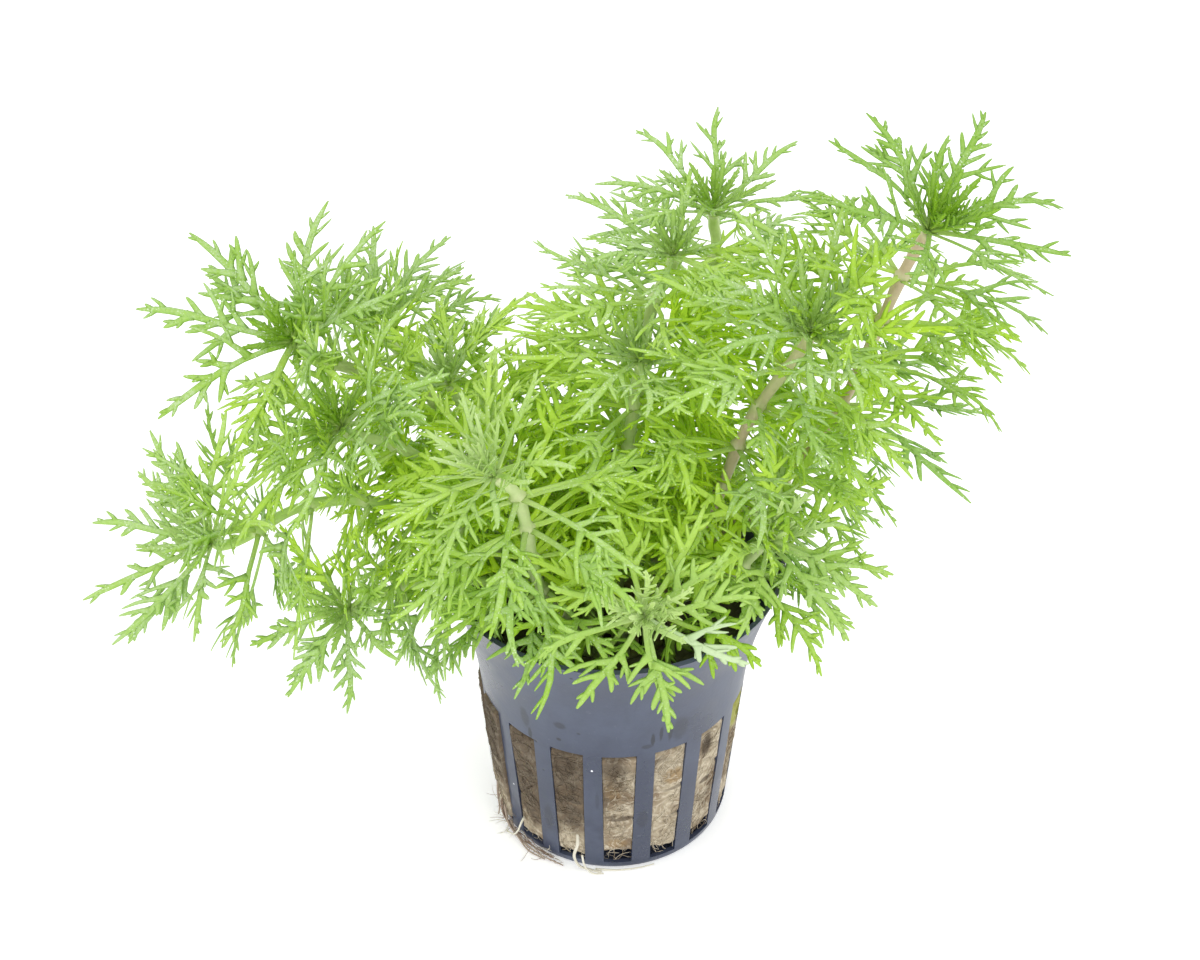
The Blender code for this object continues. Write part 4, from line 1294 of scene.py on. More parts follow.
def wool_side(angle, height):
    """The wool's outer radius: the pot's inside less a gap, swelling into the slots, with lumps and
    folds. A fold is a crease with a bell-shaped section, and its lower lip stays pressed in a little."""
    z = np.asarray(height, float)
    inside = pot_radius(z) - POT_WALL - GAP
    turn = (np.degrees(angle) + 180) % 360 - 180
    which = np.round((turn - SLOT_TURN + 90) / (360.0 / SLOT_COUNT))
    bulge = STANDS_OUT + 0.06 * np.sin(which * 2.4 + 1.0) + BULGE * np.isin(which, BULGING_SLOTS)
    lumps = 0.15 * soft_noise(angle * 13.0, z * 0.33, 5) + 0.10 * soft_noise(angle * 34.0, z * 1.0, 6, 2)
    folds = 0.0
    for place, level, tilt, reach, deep in FOLDS:
        off = turn - place
        crease = level + tilt * off - z
        lip = np.exp(-np.maximum(crease, 0.0) / LIP_REACH) * (crease > 0) * LIP_DEPTH
        folds = folds + deep * (np.exp(-(crease / FOLD_HALF) ** 2) + lip) * np.exp(-(off / reach) ** 4)
    return inside + slot_share(angle, z) * (bulge + lumps - folds) - 0.10


# The columns of the wool in a slot, as shares of half the slot's width from its middle, how far below
# the plug's top its side starts, and the side's rows
WOOL_SHARES = np.array([0.16, 0.32, 0.48, 0.63, 0.77, 0.88, 0.95, 0.985, 1.012])
WOOL_EDGE_DROP = 1.5
WOOL_ROWS = 84

# Loose fibres: their widths along them, their sides, the radius of the wool that they are laid on, how
# low they may lie and how deep in a slot they must be
FIBRE_WIDTHS = np.array([0.6, 1, 1, 1, 1, 0.6])
FIBRE_SIDES = 3
FIBRE_ROUND = 19.0
FIBRE_LOWEST = 2.4
FIBRE_WITHIN = 0.12


def wool_angles(height):
    """The wool's columns at a height: those in a slot follow its sides, and one is on each bar."""
    pitch = 360.0 / SLOT_COUNT
    share = np.concatenate([-WOOL_SHARES[::-1], [0.0], WOOL_SHARES])
    centres = SLOT_TURN - 90 + pitch * np.arange(SLOT_COUNT)
    within = centres[:, None] + share[None, :] * slot_half(height)
    return np.radians(np.concatenate([within, centres[:, None] + pitch / 2], axis=1).ravel())


def wool_surface():
    """The plug as a profile turned round the axis, whose side swells into the slots.

    The profile starts in the well, crosses the top, goes down the side and in under the plug. Its
    lower edge is ragged: its height wanders round the plug.
    """
    a = wool_angles(0.0)
    columns = len(a)
    turn = (np.degrees(a) + 180) % 360 - 180
    leftward = np.clip((WOOL_END_TURN - turn) / 6.0, 0, 1) * (turn < 0)
    ragged = WOOL_END_RIGHT + (WOOL_END_LEFT - WOOL_END_RIGHT) * leftward
    ragged = ragged + 0.6 * soft_noise(a * 9, a * 0, 8) + 0.5 * soft_noise(a * 30, a * 0, 9)
    rows = [(np.full(columns, r), np.full(columns, z), wool_angles(z)) for r, z in (
        (0.05, WELL_FLOOR), (WELL_RADIUS - 1, WELL_FLOOR), (WELL_RADIUS, WELL_FLOOR + 1),
        (WELL_RADIUS, WOOL_TOP - 6), (WELL_RADIUS + 0.9, WOOL_TOP - 4), (WELL_MOUTH - 1, WOOL_TOP - 1))]
    for level in np.linspace(0, 1, 8):
        r = WELL_MOUTH + (pot_radius(WOOL_TOP) - 3.2 - WELL_MOUTH) * level
        z = WOOL_TOP - 0.7 + 0.6 * soft_noise(a * 7 + r, r * 0.8 + a * 0, 10)
        rows.append((np.full(columns, r), z, wool_angles(WOOL_TOP)))
    top = WOOL_TOP - WOOL_EDGE_DROP
    for level in np.linspace(0, 1, WOOL_ROWS):
        z = top + (ragged - top) * level
        side = wool_angles(top + (WOOL_END_RIGHT - top) * level)
        rows.append((wool_side(side, z), z, side))
    rows.append((wool_side(a, ragged) - 1.0, np.maximum(ragged - 0.7, 1.7), a))
    rows.append((np.full(columns, 13.5), np.full(columns, 2.1), a))
    rows.append((np.full(columns, 0.05), np.full(columns, 1.9), a))
    radius, height, angle = (np.array(part) for part in zip(*rows))
    return round_axis(radius, angle, height).reshape(-1, 3), grid_quads(len(rows), columns, True)[:, ::-1]


def put_fibres(heap, settings):
    """Loose fibres over the wool in the slots: arcs that lie on its side and lift a little at the ends."""
    rng = np.random.default_rng(31)
    count = settings.fibre_count
    angle = rng.uniform(0, math.tau, count)
    height = WOOL_END_LEFT + rng.uniform(0, 1, count) ** 0.9 * (SLOT_TOP - WOOL_END_LEFT)
    heading = rng.normal(0.9, 0.9, count)
    length = rng.uniform(1.6, 5.0, count)
    curl = rng.normal(0, 0.9, count)
    u = np.linspace(-0.5, 0.5, len(FIBRE_WIDTHS))
    turn = heading[:, None] + curl[:, None] * u
    along = length[:, None] * u
    z = np.clip(height[:, None] + along * np.sin(turn), FIBRE_LOWEST, SLOT_TOP)
    phi = angle[:, None] + along * np.cos(turn) / FIBRE_ROUND
    lift = rng.uniform(-0.05, 0.10, count)[:, None] + 0.14 * (2 * u) ** 2 * rng.uniform(0, 1, count)[:, None]
    paths = round_axis(wool_side(phi, z) + lift, phi, z)
    kept = slot_share(phi, z).min(axis=1) > FIBRE_WITHIN
    thick = rng.uniform(0.6, 1.3, count) * settings.fibre_radius / MM
    tone = rng.random(count)
    for path, width, shade in zip(paths[kept], thick[kept], tone[kept]):
        tube, faces = closed_tube(path, width * FIBRE_WIDTHS, FIBRE_SIDES)
        heap.put(tube, faces, fibre=1.0, tone=shade)


def build_wool(settings):
    """The plug with its loose fibres as one piece."""
    heap = Heap(("fibre", "tone"))
    heap.put(*wool_surface(), fibre=0.0, tone=0.5)
    put_fibres(heap, settings)
    add_piece(heap.mesh("wool_plug"), wool_material(settings), ["rockwool_plug"])


# Roots

# How far apart the points of a root's centre line are
ROOT_STEP = 0.5


def polar_path(spots):
    points = smooth_route([from_polar(*spot) for spot in spots], ROOT_STEP)
    return np.array([tuple(p) for p in points])


def wander(path, reach, seed, strand):
    """A path beside another: it winds round it at a distance that comes and goes."""
    u, v = tube_frames(path)
    s = np.linspace(0, 1, len(path))
    turn = strand * 2.1 + 5.0 * s + soft_noise(s * 12, s * 0 + strand, seed)
    away = reach * (0.5 + 0.5 * np.sin(s * 9 + strand))
    return path + u * (away * np.cos(turn))[:, None] + v * (away * np.sin(turn))[:, None]


# How many strands each root has, and how brown they are
STRANDS = {"root_front": (1, 0.1), "root_left": (7, 0.85)}

# Finer roots, as (the root that they belong to, how brown they are, their centre line)
FINE_ROOTS = [
    ("root_left", 0.0, [(-137.5, 19.2, 5.6), (-136.5, 20.3, 5.0), (-138, 20.4, 3.2), (-141.5, 20.4, 1.2),
                        (-146, 20.6, 0.6)]),
    ("root_left", 0.7, [(-152, 19.8, 4.6), (-146, 20.3, 2.4), (-139, 20.2, 1.2), (-131, 20.6, 0.5),
                        (-122, 20.4, 0.4)]),
    ("root_left", 0.7, [(-147, 19.8, 2.6), (-138, 20.0, 1.0), (-126, 20.3, 0.8), (-113, 20.2, 0.4)]),
    ("root_front", 0.0, [(-104, 20.0, 3.8), (-102.5, 20.5, 2.0), (-99, 20.6, 0.6), (-94, 20.3, 0.4)]),
    ("root_front", 0.0, [(-98, 19.6, 0.5), (-88, 19.5, 0.35), (-78, 19.5, 0.4), (-70, 19.4, 0.35)]),
    ("root_left", 0.7, [(-160, 19.8, 7.5), (-157, 20.2, 5.8), (-154, 20.4, 3.6), (-155, 20.5, 1.6)]),
]
FINE_ROOT_RADIUS = 0.19
FINE_ROOT_LOWEST = 0.25

# How far a root lies over the floor
ROOT_LIFT = 0.06

# Root hairs: their radius, the points along one, how low they may lie and how brown they may be
HAIR_RADIUS = 0.06
HAIR_STEPS = 6
HAIR_LOWEST = 0.12
HAIR_TONES = (0.0, 0.25, 0.8)


def put_root_hairs(heap, path, count):
    """Short fine hairs that leave a root at random places and curl away from it, pale or brown.

    A hair is an arc: its heading turns evenly along its length. It stays above the floor and outside
    the pot.
    """
    rng = np.random.default_rng(77)
    u = np.linspace(0, 1, HAIR_STEPS)
    first = path[rng.integers(0, len(path), count)]
    turn = rng.uniform(0, math.tau, count)[:, None] + rng.normal(0, 1.2, count)[:, None] * u
    rise = rng.normal(0, 0.4, count)[:, None] + rng.normal(0, 0.6, count)[:, None] * u
    step = rng.uniform(1.0, 3.2, count)[:, None] / (HAIR_STEPS - 1)
    heading = np.stack([np.cos(turn) * np.cos(rise), np.sin(turn) * np.cos(rise), np.sin(rise)], axis=-1)
    lines = first[:, None] + np.cumsum(heading * step[..., None], axis=1)
    outside = pot_radius(0) + 0.5
    away = np.hypot(lines[..., 0], lines[..., 1])
    lines[..., :2] *= np.maximum(1.0, outside / away)[..., None]
    lines[..., 2] = np.maximum(lines[..., 2], HAIR_LOWEST)
    tone = rng.choice(HAIR_TONES, count)
    for line, shade in zip(lines, tone):
        tube, quads = closed_tube(line, HAIR_RADIUS * np.linspace(1.0, 0.5, HAIR_STEPS), 3)
        heap.put(tube, quads, tone=shade)


def build_roots(settings):
    """Roots are thin tubes that wind along the base. A root of several strands is a tangle with hairs."""
    material = root_material(settings)
    thick = settings.radius / MM
    for number, (name, spots) in enumerate(ROOTS.items()):
        heap = Heap(("tone",))
        path = polar_path(spots)
        strands, brown = STRANDS[name]
        tangled = strands > 1
        for strand in range(strands):
            line = wander(path, 0.45 + 0.2 * (strand % 3) if tangled else 0.0, 40 + number, strand)
            line[:, 2] = np.maximum(line[:, 2], thick + ROOT_LIFT)
            s = np.linspace(0, 1, len(line))
            own = thick * (0.40 - 0.09 * (strand % 3)) if tangled else thick
            radius = own * (0.9 - 0.35 * s) * (1 + 0.12 * soft_noise(s * 40, s * 0, 50 + strand))
            tube, quads = closed_tube(line, radius, 8)
            heap.put(tube, quads, tone=brown)
        if tangled:
            put_root_hairs(heap, path, settings.hair_count)
        for root, tone, spots in FINE_ROOTS:
            if root != name:
                continue
            line = polar_path(spots)
            line[:, 2] = np.maximum(line[:, 2], FINE_ROOT_LOWEST)
            s = np.linspace(0, 1, len(line))
            tube, quads = closed_tube(line, FINE_ROOT_RADIUS * (1 - 0.4 * s), 6)
            heap.put(tube, quads, tone=tone)
        add_piece(heap.mesh(name + "_strands"), material, [name])


# Materials


def put(tree, kind, sockets=None, **fields):
    """Adds a node, sets its fields, and gives its sockets a link or a value."""
    node = tree.nodes.new(kind)
    for field, value in fields.items():
        setattr(node, field, value)
    for name, value in (sockets or {}).items():
        socket = node.inputs[name]
        if isinstance(value, bpy.types.NodeSocket):
            tree.links.new(value, socket)
        else:
            socket.default_value = (*value[:3], 1.0) if socket.type == "RGBA" else value
    return node


def noise(tree, place, scale, detail=3.0, rough=0.5):
    return put(tree, "ShaderNodeTexNoise", {"Vector": place, "Scale": scale, "Detail": detail,
                                            "Roughness": rough}).outputs["Fac"]


def spread(tree, value, low, high, to_low=0.0, to_high=1.0):
    """A value between low and high carried smoothly to one between to_low and to_high."""
    return put(tree, "ShaderNodeMapRange", {"Value": value, "From Min": low, "From Max": high,
                                            "To Min": to_low, "To Max": to_high},
               interpolation_type="SMOOTHSTEP").outputs["Result"]


def blend(tree, share, one, other):
    """A colour that goes from one to the other as the share goes from 0 to 1."""
    return put(tree, "ShaderNodeMix", {0: share, 6: one, 7: other}, data_type="RGBA").outputs[2]


def maths(tree, how, one, other=0.5):
    return put(tree, "ShaderNodeMath", {0: one, 1: other}, operation=how).outputs[0]


def times(tree, value, *others):
    """The product of several values."""
    for other in others:
        value = maths(tree, "MULTIPLY", value, other)
    return value


def vector_maths(tree, how, one, other):
    return put(tree, "ShaderNodeVectorMath", {0: one, 1: other}, operation=how).outputs[0]


def stretched(tree, place, scale):
    return put(tree, "ShaderNodeMapping", {"Vector": place, "Scale": scale}).outputs[0]


def cells(tree, place, scale):
    return put(tree, "ShaderNodeTexVoronoi", {"Vector": place, "Scale": scale}).outputs


def axes_of(tree, vector):
    return put(tree, "ShaderNodeSeparateXYZ", {0: vector}).outputs


def attribute(tree, name):
    return put(tree, "ShaderNodeAttribute", attribute_name=name).outputs["Fac"]


def start_material(name, roughness):
    material = bpy.data.materials.new(name)
    material.use_nodes = True
    tree = material.node_tree
    shader = tree.nodes["Principled BSDF"]
    shader.inputs["Roughness"].default_value = roughness
    place = tree.nodes.new("ShaderNodeTexCoord").outputs["Object"]
    return material, tree, shader, place


def group_sockets(group, kind, sockets):
    for name, socket, value in sockets:
        made = group.interface.new_socket(name=name, in_out=kind, socket_type="NodeSocket" + socket)
        if value is not None:
            made.default_value = value


@functools.lru_cache(maxsize=None)
def mottle_group():
    """Node group: two colours in soft patches, with fine grain over them and a height for a bump."""
    group = bpy.data.node_groups.new("mottle", "ShaderNodeTree")
    group_sockets(group, "INPUT", [
        ("Place", "Vector", None), ("Main", "Color", None), ("Patches", "Color", None),
        ("Patch scale", "Float", 120.0), ("Patch share", "Float", 0.5), ("Grain scale", "Float", 900.0),
        ("Grain depth", "Float", 0.2)])
    group_sockets(group, "OUTPUT", [("Color", "Color", None), ("Mask", "Float", None),
                                    ("Height", "Float", None)])
    given = group.nodes.new("NodeGroupInput").outputs
    patches = noise(group, given["Place"], given["Patch scale"], 4.0, 0.55)
    low = maths(group, "SUBTRACT", 0.85, times(group, given["Patch share"], 0.6))
    foot = maths(group, "SUBTRACT", low, 0.22)
    mask = put(group, "ShaderNodeMapRange", {"Value": patches, "From Min": foot,
                                             "From Max": low}).outputs["Result"]
    grain = noise(group, given["Place"], given["Grain scale"], 3.0, 0.6)
    colour = blend(group, mask, given["Main"], given["Patches"])
    shade = put(group, "ShaderNodeMath", {0: maths(group, "SUBTRACT", grain, 0.5), 1: given["Grain depth"],
                                          2: 1.0}, operation="MULTIPLY_ADD").outputs[0]
    shaded = put(group, "ShaderNodeVectorMath", {0: colour, "Scale": shade}, operation="SCALE").outputs[0]
    put(group, "NodeGroupOutput", {"Color": shaded, "Mask": mask, "Height": grain})
    return group


def mottle(tree, place, main, patches, scale, share, grain, depth):
    return put(tree, "ShaderNodeGroup", {"Place": place, "Main": main, "Patches": patches,
                                         "Patch scale": scale, "Patch share": share,
                                         "Grain scale": grain, "Grain depth": depth},
               node_tree=mottle_group()).outputs


def skin(tree, shader, colour, height, strength, distance):
    """Gives a material its colour and its bumps."""
    tree.links.new(colour, shader.inputs["Base Color"])
    node = put(tree, "ShaderNodeBump", {"Height": height, "Strength": strength, "Distance": distance})
    tree.links.new(node.outputs["Normal"], shader.inputs["Normal"])


def leaf_material(name, settings):
    """Leaf green: warmer or cooler by shoot and leaf, deeper or paler in young leaves, lighter on the leaf
    stalk and along the midrib, powdery on top with a painted sheen on the upward faces of outer leaves,
    with pale specks that are partly painted glints, and, as painted light, more vivid where light comes
    through the blade from above and deep among the leaves."""
    material, tree, shader, place = start_material(name, 0.45)
    own = {key: attribute(tree, key) for key in LEAF_KEYS}
    warmth = maths(tree, "ADD", own["warmth"], spread(tree, own["tone"], 0.0, 1.0, -0.35, 0.35))
    green = blend(tree, spread(tree, warmth, 0.0, 1.0), settings.cool, settings.warm)
    green = blend(tree, times(tree, own["depth"], 0.82), green, settings.deep)
    chance = maths(tree, "FRACT", times(tree, own["tone"], 7.3))
    green = blend(tree, spread(tree, chance, 0.0, 1.0, 0.0, 0.35), green, settings.deep)
    young = blend(tree, own["pale"], settings.young, settings.pale)
    youth = maths(tree, "MAXIMUM", own["youth"], spread(tree, own["pale"], 0.75, 1.0, 0.0, 0.6))
    green = blend(tree, youth, green, young)
    stalk = blend(tree, own["pale"], settings.stalk, settings.pale)
    green = blend(tree, spread(tree, own["reach"], 0.0, 1.0, 0.75, 0.0), green, stalk)
    green = blend(tree, spread(tree, own["edge"], 0.0, 0.55, 0.2, 0.0), green, settings.stalk)
    rim = times(tree, spread(tree, own["edge"], 0.7, 1.0, 0.0, 0.45),
                spread(tree, own["pale"], 0.0, 0.8, 1.0, 0.2))
    green = blend(tree, rim, green, settings.rim)
    out = mottle(tree, place, green, green, scale=260.0, share=0.5, grain=1400.0, depth=0.35)
    # Painted light: leaves deep in the bunch are blended towards a bright, vivid green that stands in for
    # light coming through the leaves round them.
    green = blend(tree, times(tree, own["shade"], 0.75), out["Color"], settings.inner)
    upward = axes_of(tree, tree.nodes.new("ShaderNodeNewGeometry").outputs["Normal"])["Z"]
    green = blend(tree, spread(tree, upward, -0.9, 0.1, 0.38, 0.0), green, settings.lit)
    # Partly pale powder in patches and partly a painted sheen of the white surroundings: it goes mostly on
    # faces turned up and on leaves in the open.
    up = times(tree, spread(tree, upward, -0.4, 0.8, 0.25, 1.0),
               spread(tree, own["shade"], 0.0, 1.0, 1.0, 0.15))
    matt = spread(tree, own["warmth"], 0.45, 0.85, 1.0, 0.3)
    old = times(tree, spread(tree, own["youth"], 0.3, 1.0, settings.powder_and_sheen, settings.powder_and_sheen * 0.1), matt,
                spread(tree, own["depth"], 0.5, 1.0, 1.0, 0.5))
    powder_and_sheen = times(tree, spread(tree, noise(tree, place, 2600.0, 3.0, 0.7), 0.40, 0.66, 0.25, 0.9),
                   spread(tree, noise(tree, place, 230.0, 2.0), 0.35, 0.65, 0.35, 1.0), up, old)
    green = blend(tree, powder_and_sheen, green, settings.frost_and_sheen)
    # Pale specks, partly painted glints: they show more on faces turned up to the light.
    cell = cells(tree, place, 2700.0)
    speck_and_glint_dots = times(tree, spread(tree, cell["Distance"], 0.26, 0.40, 1.0, 0.0),
                 spread(tree, cell["Color"], 0.50, 0.60),
                 spread(tree, noise(tree, place, 420.0, 2.0), 0.42, 0.60), matt,
                 spread(tree, upward, -0.6, 0.4, 0.2, settings.speck_and_glint_strength))
    green = blend(tree, speck_and_glint_dots, green, settings.speck_and_glint)
    green = blend(tree, times(tree, own["bleach"], 0.7), green, settings.bleached)
    shader.inputs["Specular IOR Level"].default_value = 0.12
    skin(tree, shader, green, out["Height"], 0.6, 0.00008)
    return material


def stem_material(settings):
    """Pale juicy green, pinker on some shoots, with lighter rings at the nodes."""
    material, tree, shader, place = start_material("stem_skin", 0.38)
    blush = times(tree, attribute(tree, "blush"), noise(tree, place, 90.0, 2.0))
    colour = blend(tree, attribute(tree, "light"), settings.leafy, settings.green)
    colour = blend(tree, spread(tree, blush, 0.05, 0.5), colour, settings.pink)
    colour = blend(tree, times(tree, attribute(tree, "node"), 0.6), colour, settings.ring)
    out = mottle(tree, place, colour, colour, scale=200.0, share=0.5, grain=1200.0, depth=0.3)
    skin(tree, shader, out["Color"], out["Height"], 0.3, 0.00008)
    return material


@functools.lru_cache(maxsize=None)
def spot_group():
    """Node group: 1 at a place, falling to 0 at a reach around it, with an uneven edge."""
    group = bpy.data.node_groups.new("spot", "ShaderNodeTree")
    group_sockets(group, "INPUT", [("Place", "Vector", None), ("Centre", "Vector", None),
                                   ("Reach", "Vector", None), ("Unevenness", "Float", 0.4)])
    group_sockets(group, "OUTPUT", [("Mask", "Float", None)])
    given = group.nodes.new("NodeGroupInput").outputs
    off = vector_maths(group, "SUBTRACT", given["Place"], given["Centre"])
    share = vector_maths(group, "DIVIDE", off, given["Reach"])
    far = put(group, "ShaderNodeVectorMath", {0: share}, operation="LENGTH").outputs["Value"]
    rough = times(group, noise(group, given["Place"], 1300.0, 4.0, 0.6), given["Unevenness"])
    mask = spread(group, maths(group, "ADD", far, rough), 0.75, 1.2, 1.0, 0.0)
    put(group, "NodeGroupOutput", {"Mask": mask})
    return group


# How far a mark's reach is widened for its uneven edge, and how uneven the edge is
MARK_WIDER = 1.35
MARK_UNEVENNESS = 0.5


def spots(tree, place, places):
    """The strongest mark of several, each given as (angle, height, reach across, reach up, strength)."""
    total = None
    for angle, height, across, tall, strength in places:
        mark = put(tree, "ShaderNodeGroup", {
            "Place": place, "Centre": from_polar(angle, pot_radius(height), height) * MM,
            "Reach": Vector((across, across, tall)) * MM * MARK_WIDER,
            "Unevenness": MARK_UNEVENNESS}, node_tree=spot_group())
        mask = times(tree, mark.outputs["Mask"], strength)
        total = mask if total is None else maths(tree, "MAXIMUM", total, mask)
    return total


# Marks on the pot, as (angle, height, reach across, reach up, strength): dark smudges and scratches,
# and the painted highlights of drops of water
SMUDGES = [(-128.5, 32.2, 0.8, 2.4, 0.7), (-126.8, 28.8, 0.35, 1.6, 1.0), (-111.8, 33.7, 1.0, 0.8, 0.75),
           (-112.8, 30.2, 0.4, 0.35, 1.0), (-73.8, 31.0, 0.35, 1.7, 1.0), (-76.0, 29.6, 0.9, 0.5, 0.7),
           (-70.4, 32.2, 0.3, 2.6, 0.9), (-66.3, 32.0, 0.4, 2.8, 0.9), (-62.0, 32.0, 1.3, 2.8, 0.55),
           (-97.0, 17.0, 0.3, 2.4, 0.4), (-76.4, 12.0, 0.9, 2.2, 0.45), (-121.0, 10.0, 0.8, 3.0, 0.5)]
DROP_GLINTS = [(-99.0, 24.2, 0.17, 0.20, 1.0), (-142.5, 12.3, 0.17, 0.16, 1.0)]


def pot_material(settings):
    """Slate plastic with damp, darker smears, marks, fine grain, pits and pale dust."""
    material, tree, shader, place = start_material("pot_plastic_skin", 0.42)
    out = mottle(tree, place, settings.colour, settings.damp, scale=75.0, share=0.42, grain=1500.0,
                 depth=0.12)
    streaks = noise(tree, stretched(tree, place, (1.0, 1.0, 0.25)), 420.0, 4.0, 0.6)
    colour = blend(tree, times(tree, spread(tree, streaks, 0.56, 0.72), 0.3), out["Color"], settings.damp)
    pits = times(tree, spread(tree, cells(tree, place, 210.0)["Distance"], 0.05, 0.09, 1.0, 0.0),
                 spread(tree, noise(tree, place, 130.0, 2.0), 0.56, 0.62))
    axes = axes_of(tree, place)
    left = times(tree, spread(tree, axes["X"], -0.0150, -0.0185), spread(tree, axes["Z"], 0.030, 0.034),
                 spread(tree, noise(tree, place, 300.0, 2.0), 0.45, 0.6))
    beads = times(tree, spread(tree, cells(tree, place, 640.0)["Distance"], 0.16, 0.26, 1.0, 0.0), left)
    pits = maths(tree, "MAXIMUM", pits, beads)
    wet = times(tree, spread(tree, noise(tree, place, 120.0, 3.0), 0.44, 0.56),
                spread(tree, axes["Z"], 0.026, 0.014))
    colour = blend(tree, wet, colour, settings.damp)
    colour = blend(tree, times(tree, spots(tree, place, SMUDGES), 0.8), colour, settings.mark)
    colour = blend(tree, times(tree, pits, 0.85), colour, settings.mark)
    dust = spread(tree, noise(tree, place, 700.0, 5.0, 0.7), 0.62, 0.8, 0.0, 0.35)
    colour = blend(tree, dust, colour, settings.dust)
    # Painted highlights: white spots where drops of water catch the light
    colour = blend(tree, spots(tree, place, DROP_GLINTS), colour, settings.drop_glint)
    rough = maths(tree, "ADD", spread(tree, out["Mask"], 0.0, 1.0, 0.40, 0.27), times(tree, dust, 0.5))
    tree.links.new(rough, shader.inputs["Roughness"])
    skin(tree, shader, colour, maths(tree, "SUBTRACT", times(tree, out["Height"], 0.5), pits), 0.4, 0.00008)
    return material


# Marks on the wool, as (angle, height, reach across, reach up, strength): algae, rusty patches, and
# painted shade in creases and hollows
ALGAE = [(-20.0, 24.5, 3.0, 3.5, 0.8), (2.0, 23.0, 2.5, 4.0, 0.6)]
RUST = [(-62.5, 20.5, 1.6, 1.8, 0.9), (-88.0, 6.3, 1.6, 1.2, 0.6), (-90.0, 20.0, 1.4, 4.0, 0.6),
        (-112.0, 15.0, 1.0, 5.0, 0.5), (-136.0, 9.0, 1.4, 3.0, 0.6)]
CREASE_SHADES = [(-86.0, 12.3, 2.3, 0.4, 0.75), (-90.5, 12.9, 1.0, 0.3, 0.6), (-62.0, 17.4, 1.9, 0.3, 0.5),
           (-58.0, 11.0, 1.2, 0.5, 0.6), (-142.2, 15.5, 0.7, 4.5, 0.9), (-133.0, 13.0, 1.5, 0.5, 0.6),
           (-45.5, 24.0, 1.1, 2.6, 0.9), (-43.0, 15.0, 1.3, 0.6, 0.8), (-111.5, 24.0, 2.0, 2.5, 0.6),
           (-89.5, 24.5, 2.2, 1.8, 0.5)]


def felt_lines(tree, place):
    """Fine lines like felted fibres: stretched noise, upright in some patches and level in others.

    The places are shifted by a soft noise first, so that the lines bend.
    """
    whirl = put(tree, "ShaderNodeTexNoise", {"Vector": place, "Scale": 260.0, "Detail": 2.0}).outputs["Color"]
    shift = vector_maths(tree, "SUBTRACT", whirl, (0.5, 0.5, 0.5))
    shift = put(tree, "ShaderNodeVectorMath", {0: shift, "Scale": 0.007}, operation="SCALE").outputs[0]
    bent = vector_maths(tree, "ADD", place, shift)
    upright = noise(tree, stretched(tree, bent, (1.0, 1.0, 0.22)), 1500.0, 3.0, 0.6)
    level = noise(tree, stretched(tree, bent, (0.3, 0.3, 1.0)), 1300.0, 3.0, 0.6)
    return blend(tree, spread(tree, noise(tree, place, 230.0, 2.0), 0.44, 0.56), upright, level)


def wool_material(settings):
    """Beige fibres with brown, damp patches, a wide stain at the left and algae at the right, with painted
    shade in creases and hollows, and a dark top that is partly moss and partly painted shade.
    """
    material, tree, shader, place = start_material("wool_fibres", 0.92)
    axes = axes_of(tree, place)
    out = mottle(tree, place, settings.beige, settings.brown, scale=190.0, share=0.36, grain=1800.0,
                 depth=0.6)
    ragged = spread(tree, noise(tree, place, 130.0, 4.0, 0.6), 0.2, 0.8, -0.006, 0.006)
    across = maths(tree, "ADD", axes["X"], ragged)
    tall = maths(tree, "ADD", axes["Z"], ragged)
    stain = times(tree, spread(tree, across, 0.0005, -0.0055), spread(tree, tall, 0.005, 0.012), 0.9)
    upper = times(tree, spread(tree, across, 0.007, 0.002), spread(tree, tall, 0.015, 0.024, 0.0, 0.8))
    stain = maths(tree, "MAXIMUM", stain, upper)
    clean = spread(tree, stain, 0.0, 0.9, 1.0, 0.18)
    felt = felt_lines(tree, place)
    colour = blend(tree, times(tree, spots(tree, place, RUST), 0.8), out["Color"], settings.rust)
    colour = blend(tree, stain, colour, settings.stain)
    colour = blend(tree, spread(tree, felt, 0.50, 0.30, 0.0, 0.55), colour, settings.brown)
    light = times(tree, spread(tree, felt, 0.48, 0.70, 0.0, 0.75), clean)
    colour = blend(tree, light, colour, settings.pale)
    loose = times(tree, attribute(tree, "fibre"), spread(tree, attribute(tree, "tone"), 0.35, 1.0, 0.0, 0.9),
                  clean)
    colour = blend(tree, loose, colour, settings.pale)
    colour = blend(tree, spots(tree, place, ALGAE), colour, settings.algae)
    # Painted shade: creases and hollows are darkened with the stain colour.
    colour = blend(tree, spots(tree, place, CREASE_SHADES), colour, settings.stain)
    # Partly moss and partly painted shade: the plug's top, under the leaves, goes nearly black.
    colour = blend(tree, spread(tree, axes["Z"], 0.0355, 0.0385, 0.0, 0.85), colour, settings.moss_and_shade)
    skin(tree, shader, colour, maths(tree, "ADD", out["Height"], felt), 0.55, 0.00012)
    return material


def root_material(settings):
    """White new roots and pinkish-brown old ones, with darker specks."""
    material, tree, shader, place = start_material("root_skin", 0.55)
    colour = blend(tree, attribute(tree, "tone"), settings.fresh, settings.old)
    out = mottle(tree, place, colour, colour, scale=300.0, share=0.5, grain=1600.0, depth=0.5)
    skin(tree, shader, out["Color"], out["Height"], 0.4, 0.00005)
    return material


def floor_material(settings):
    material, tree, shader, place = start_material("stage_floor", 0.7)
    out = mottle(tree, place, settings.floor, settings.floor, scale=3.0, share=0.5, grain=60.0, depth=0.01)
    tree.links.new(out["Color"], shader.inputs["Base Color"])
    shader.inputs["Specular IOR Level"].default_value = 0.2
    shader.inputs["Emission Color"].default_value = (1.0, 1.0, 1.0, 1.0)
    shader.inputs["Emission Strength"].default_value = settings.glow
    return material


# Stage

FLOOR_HALF = 1500.0

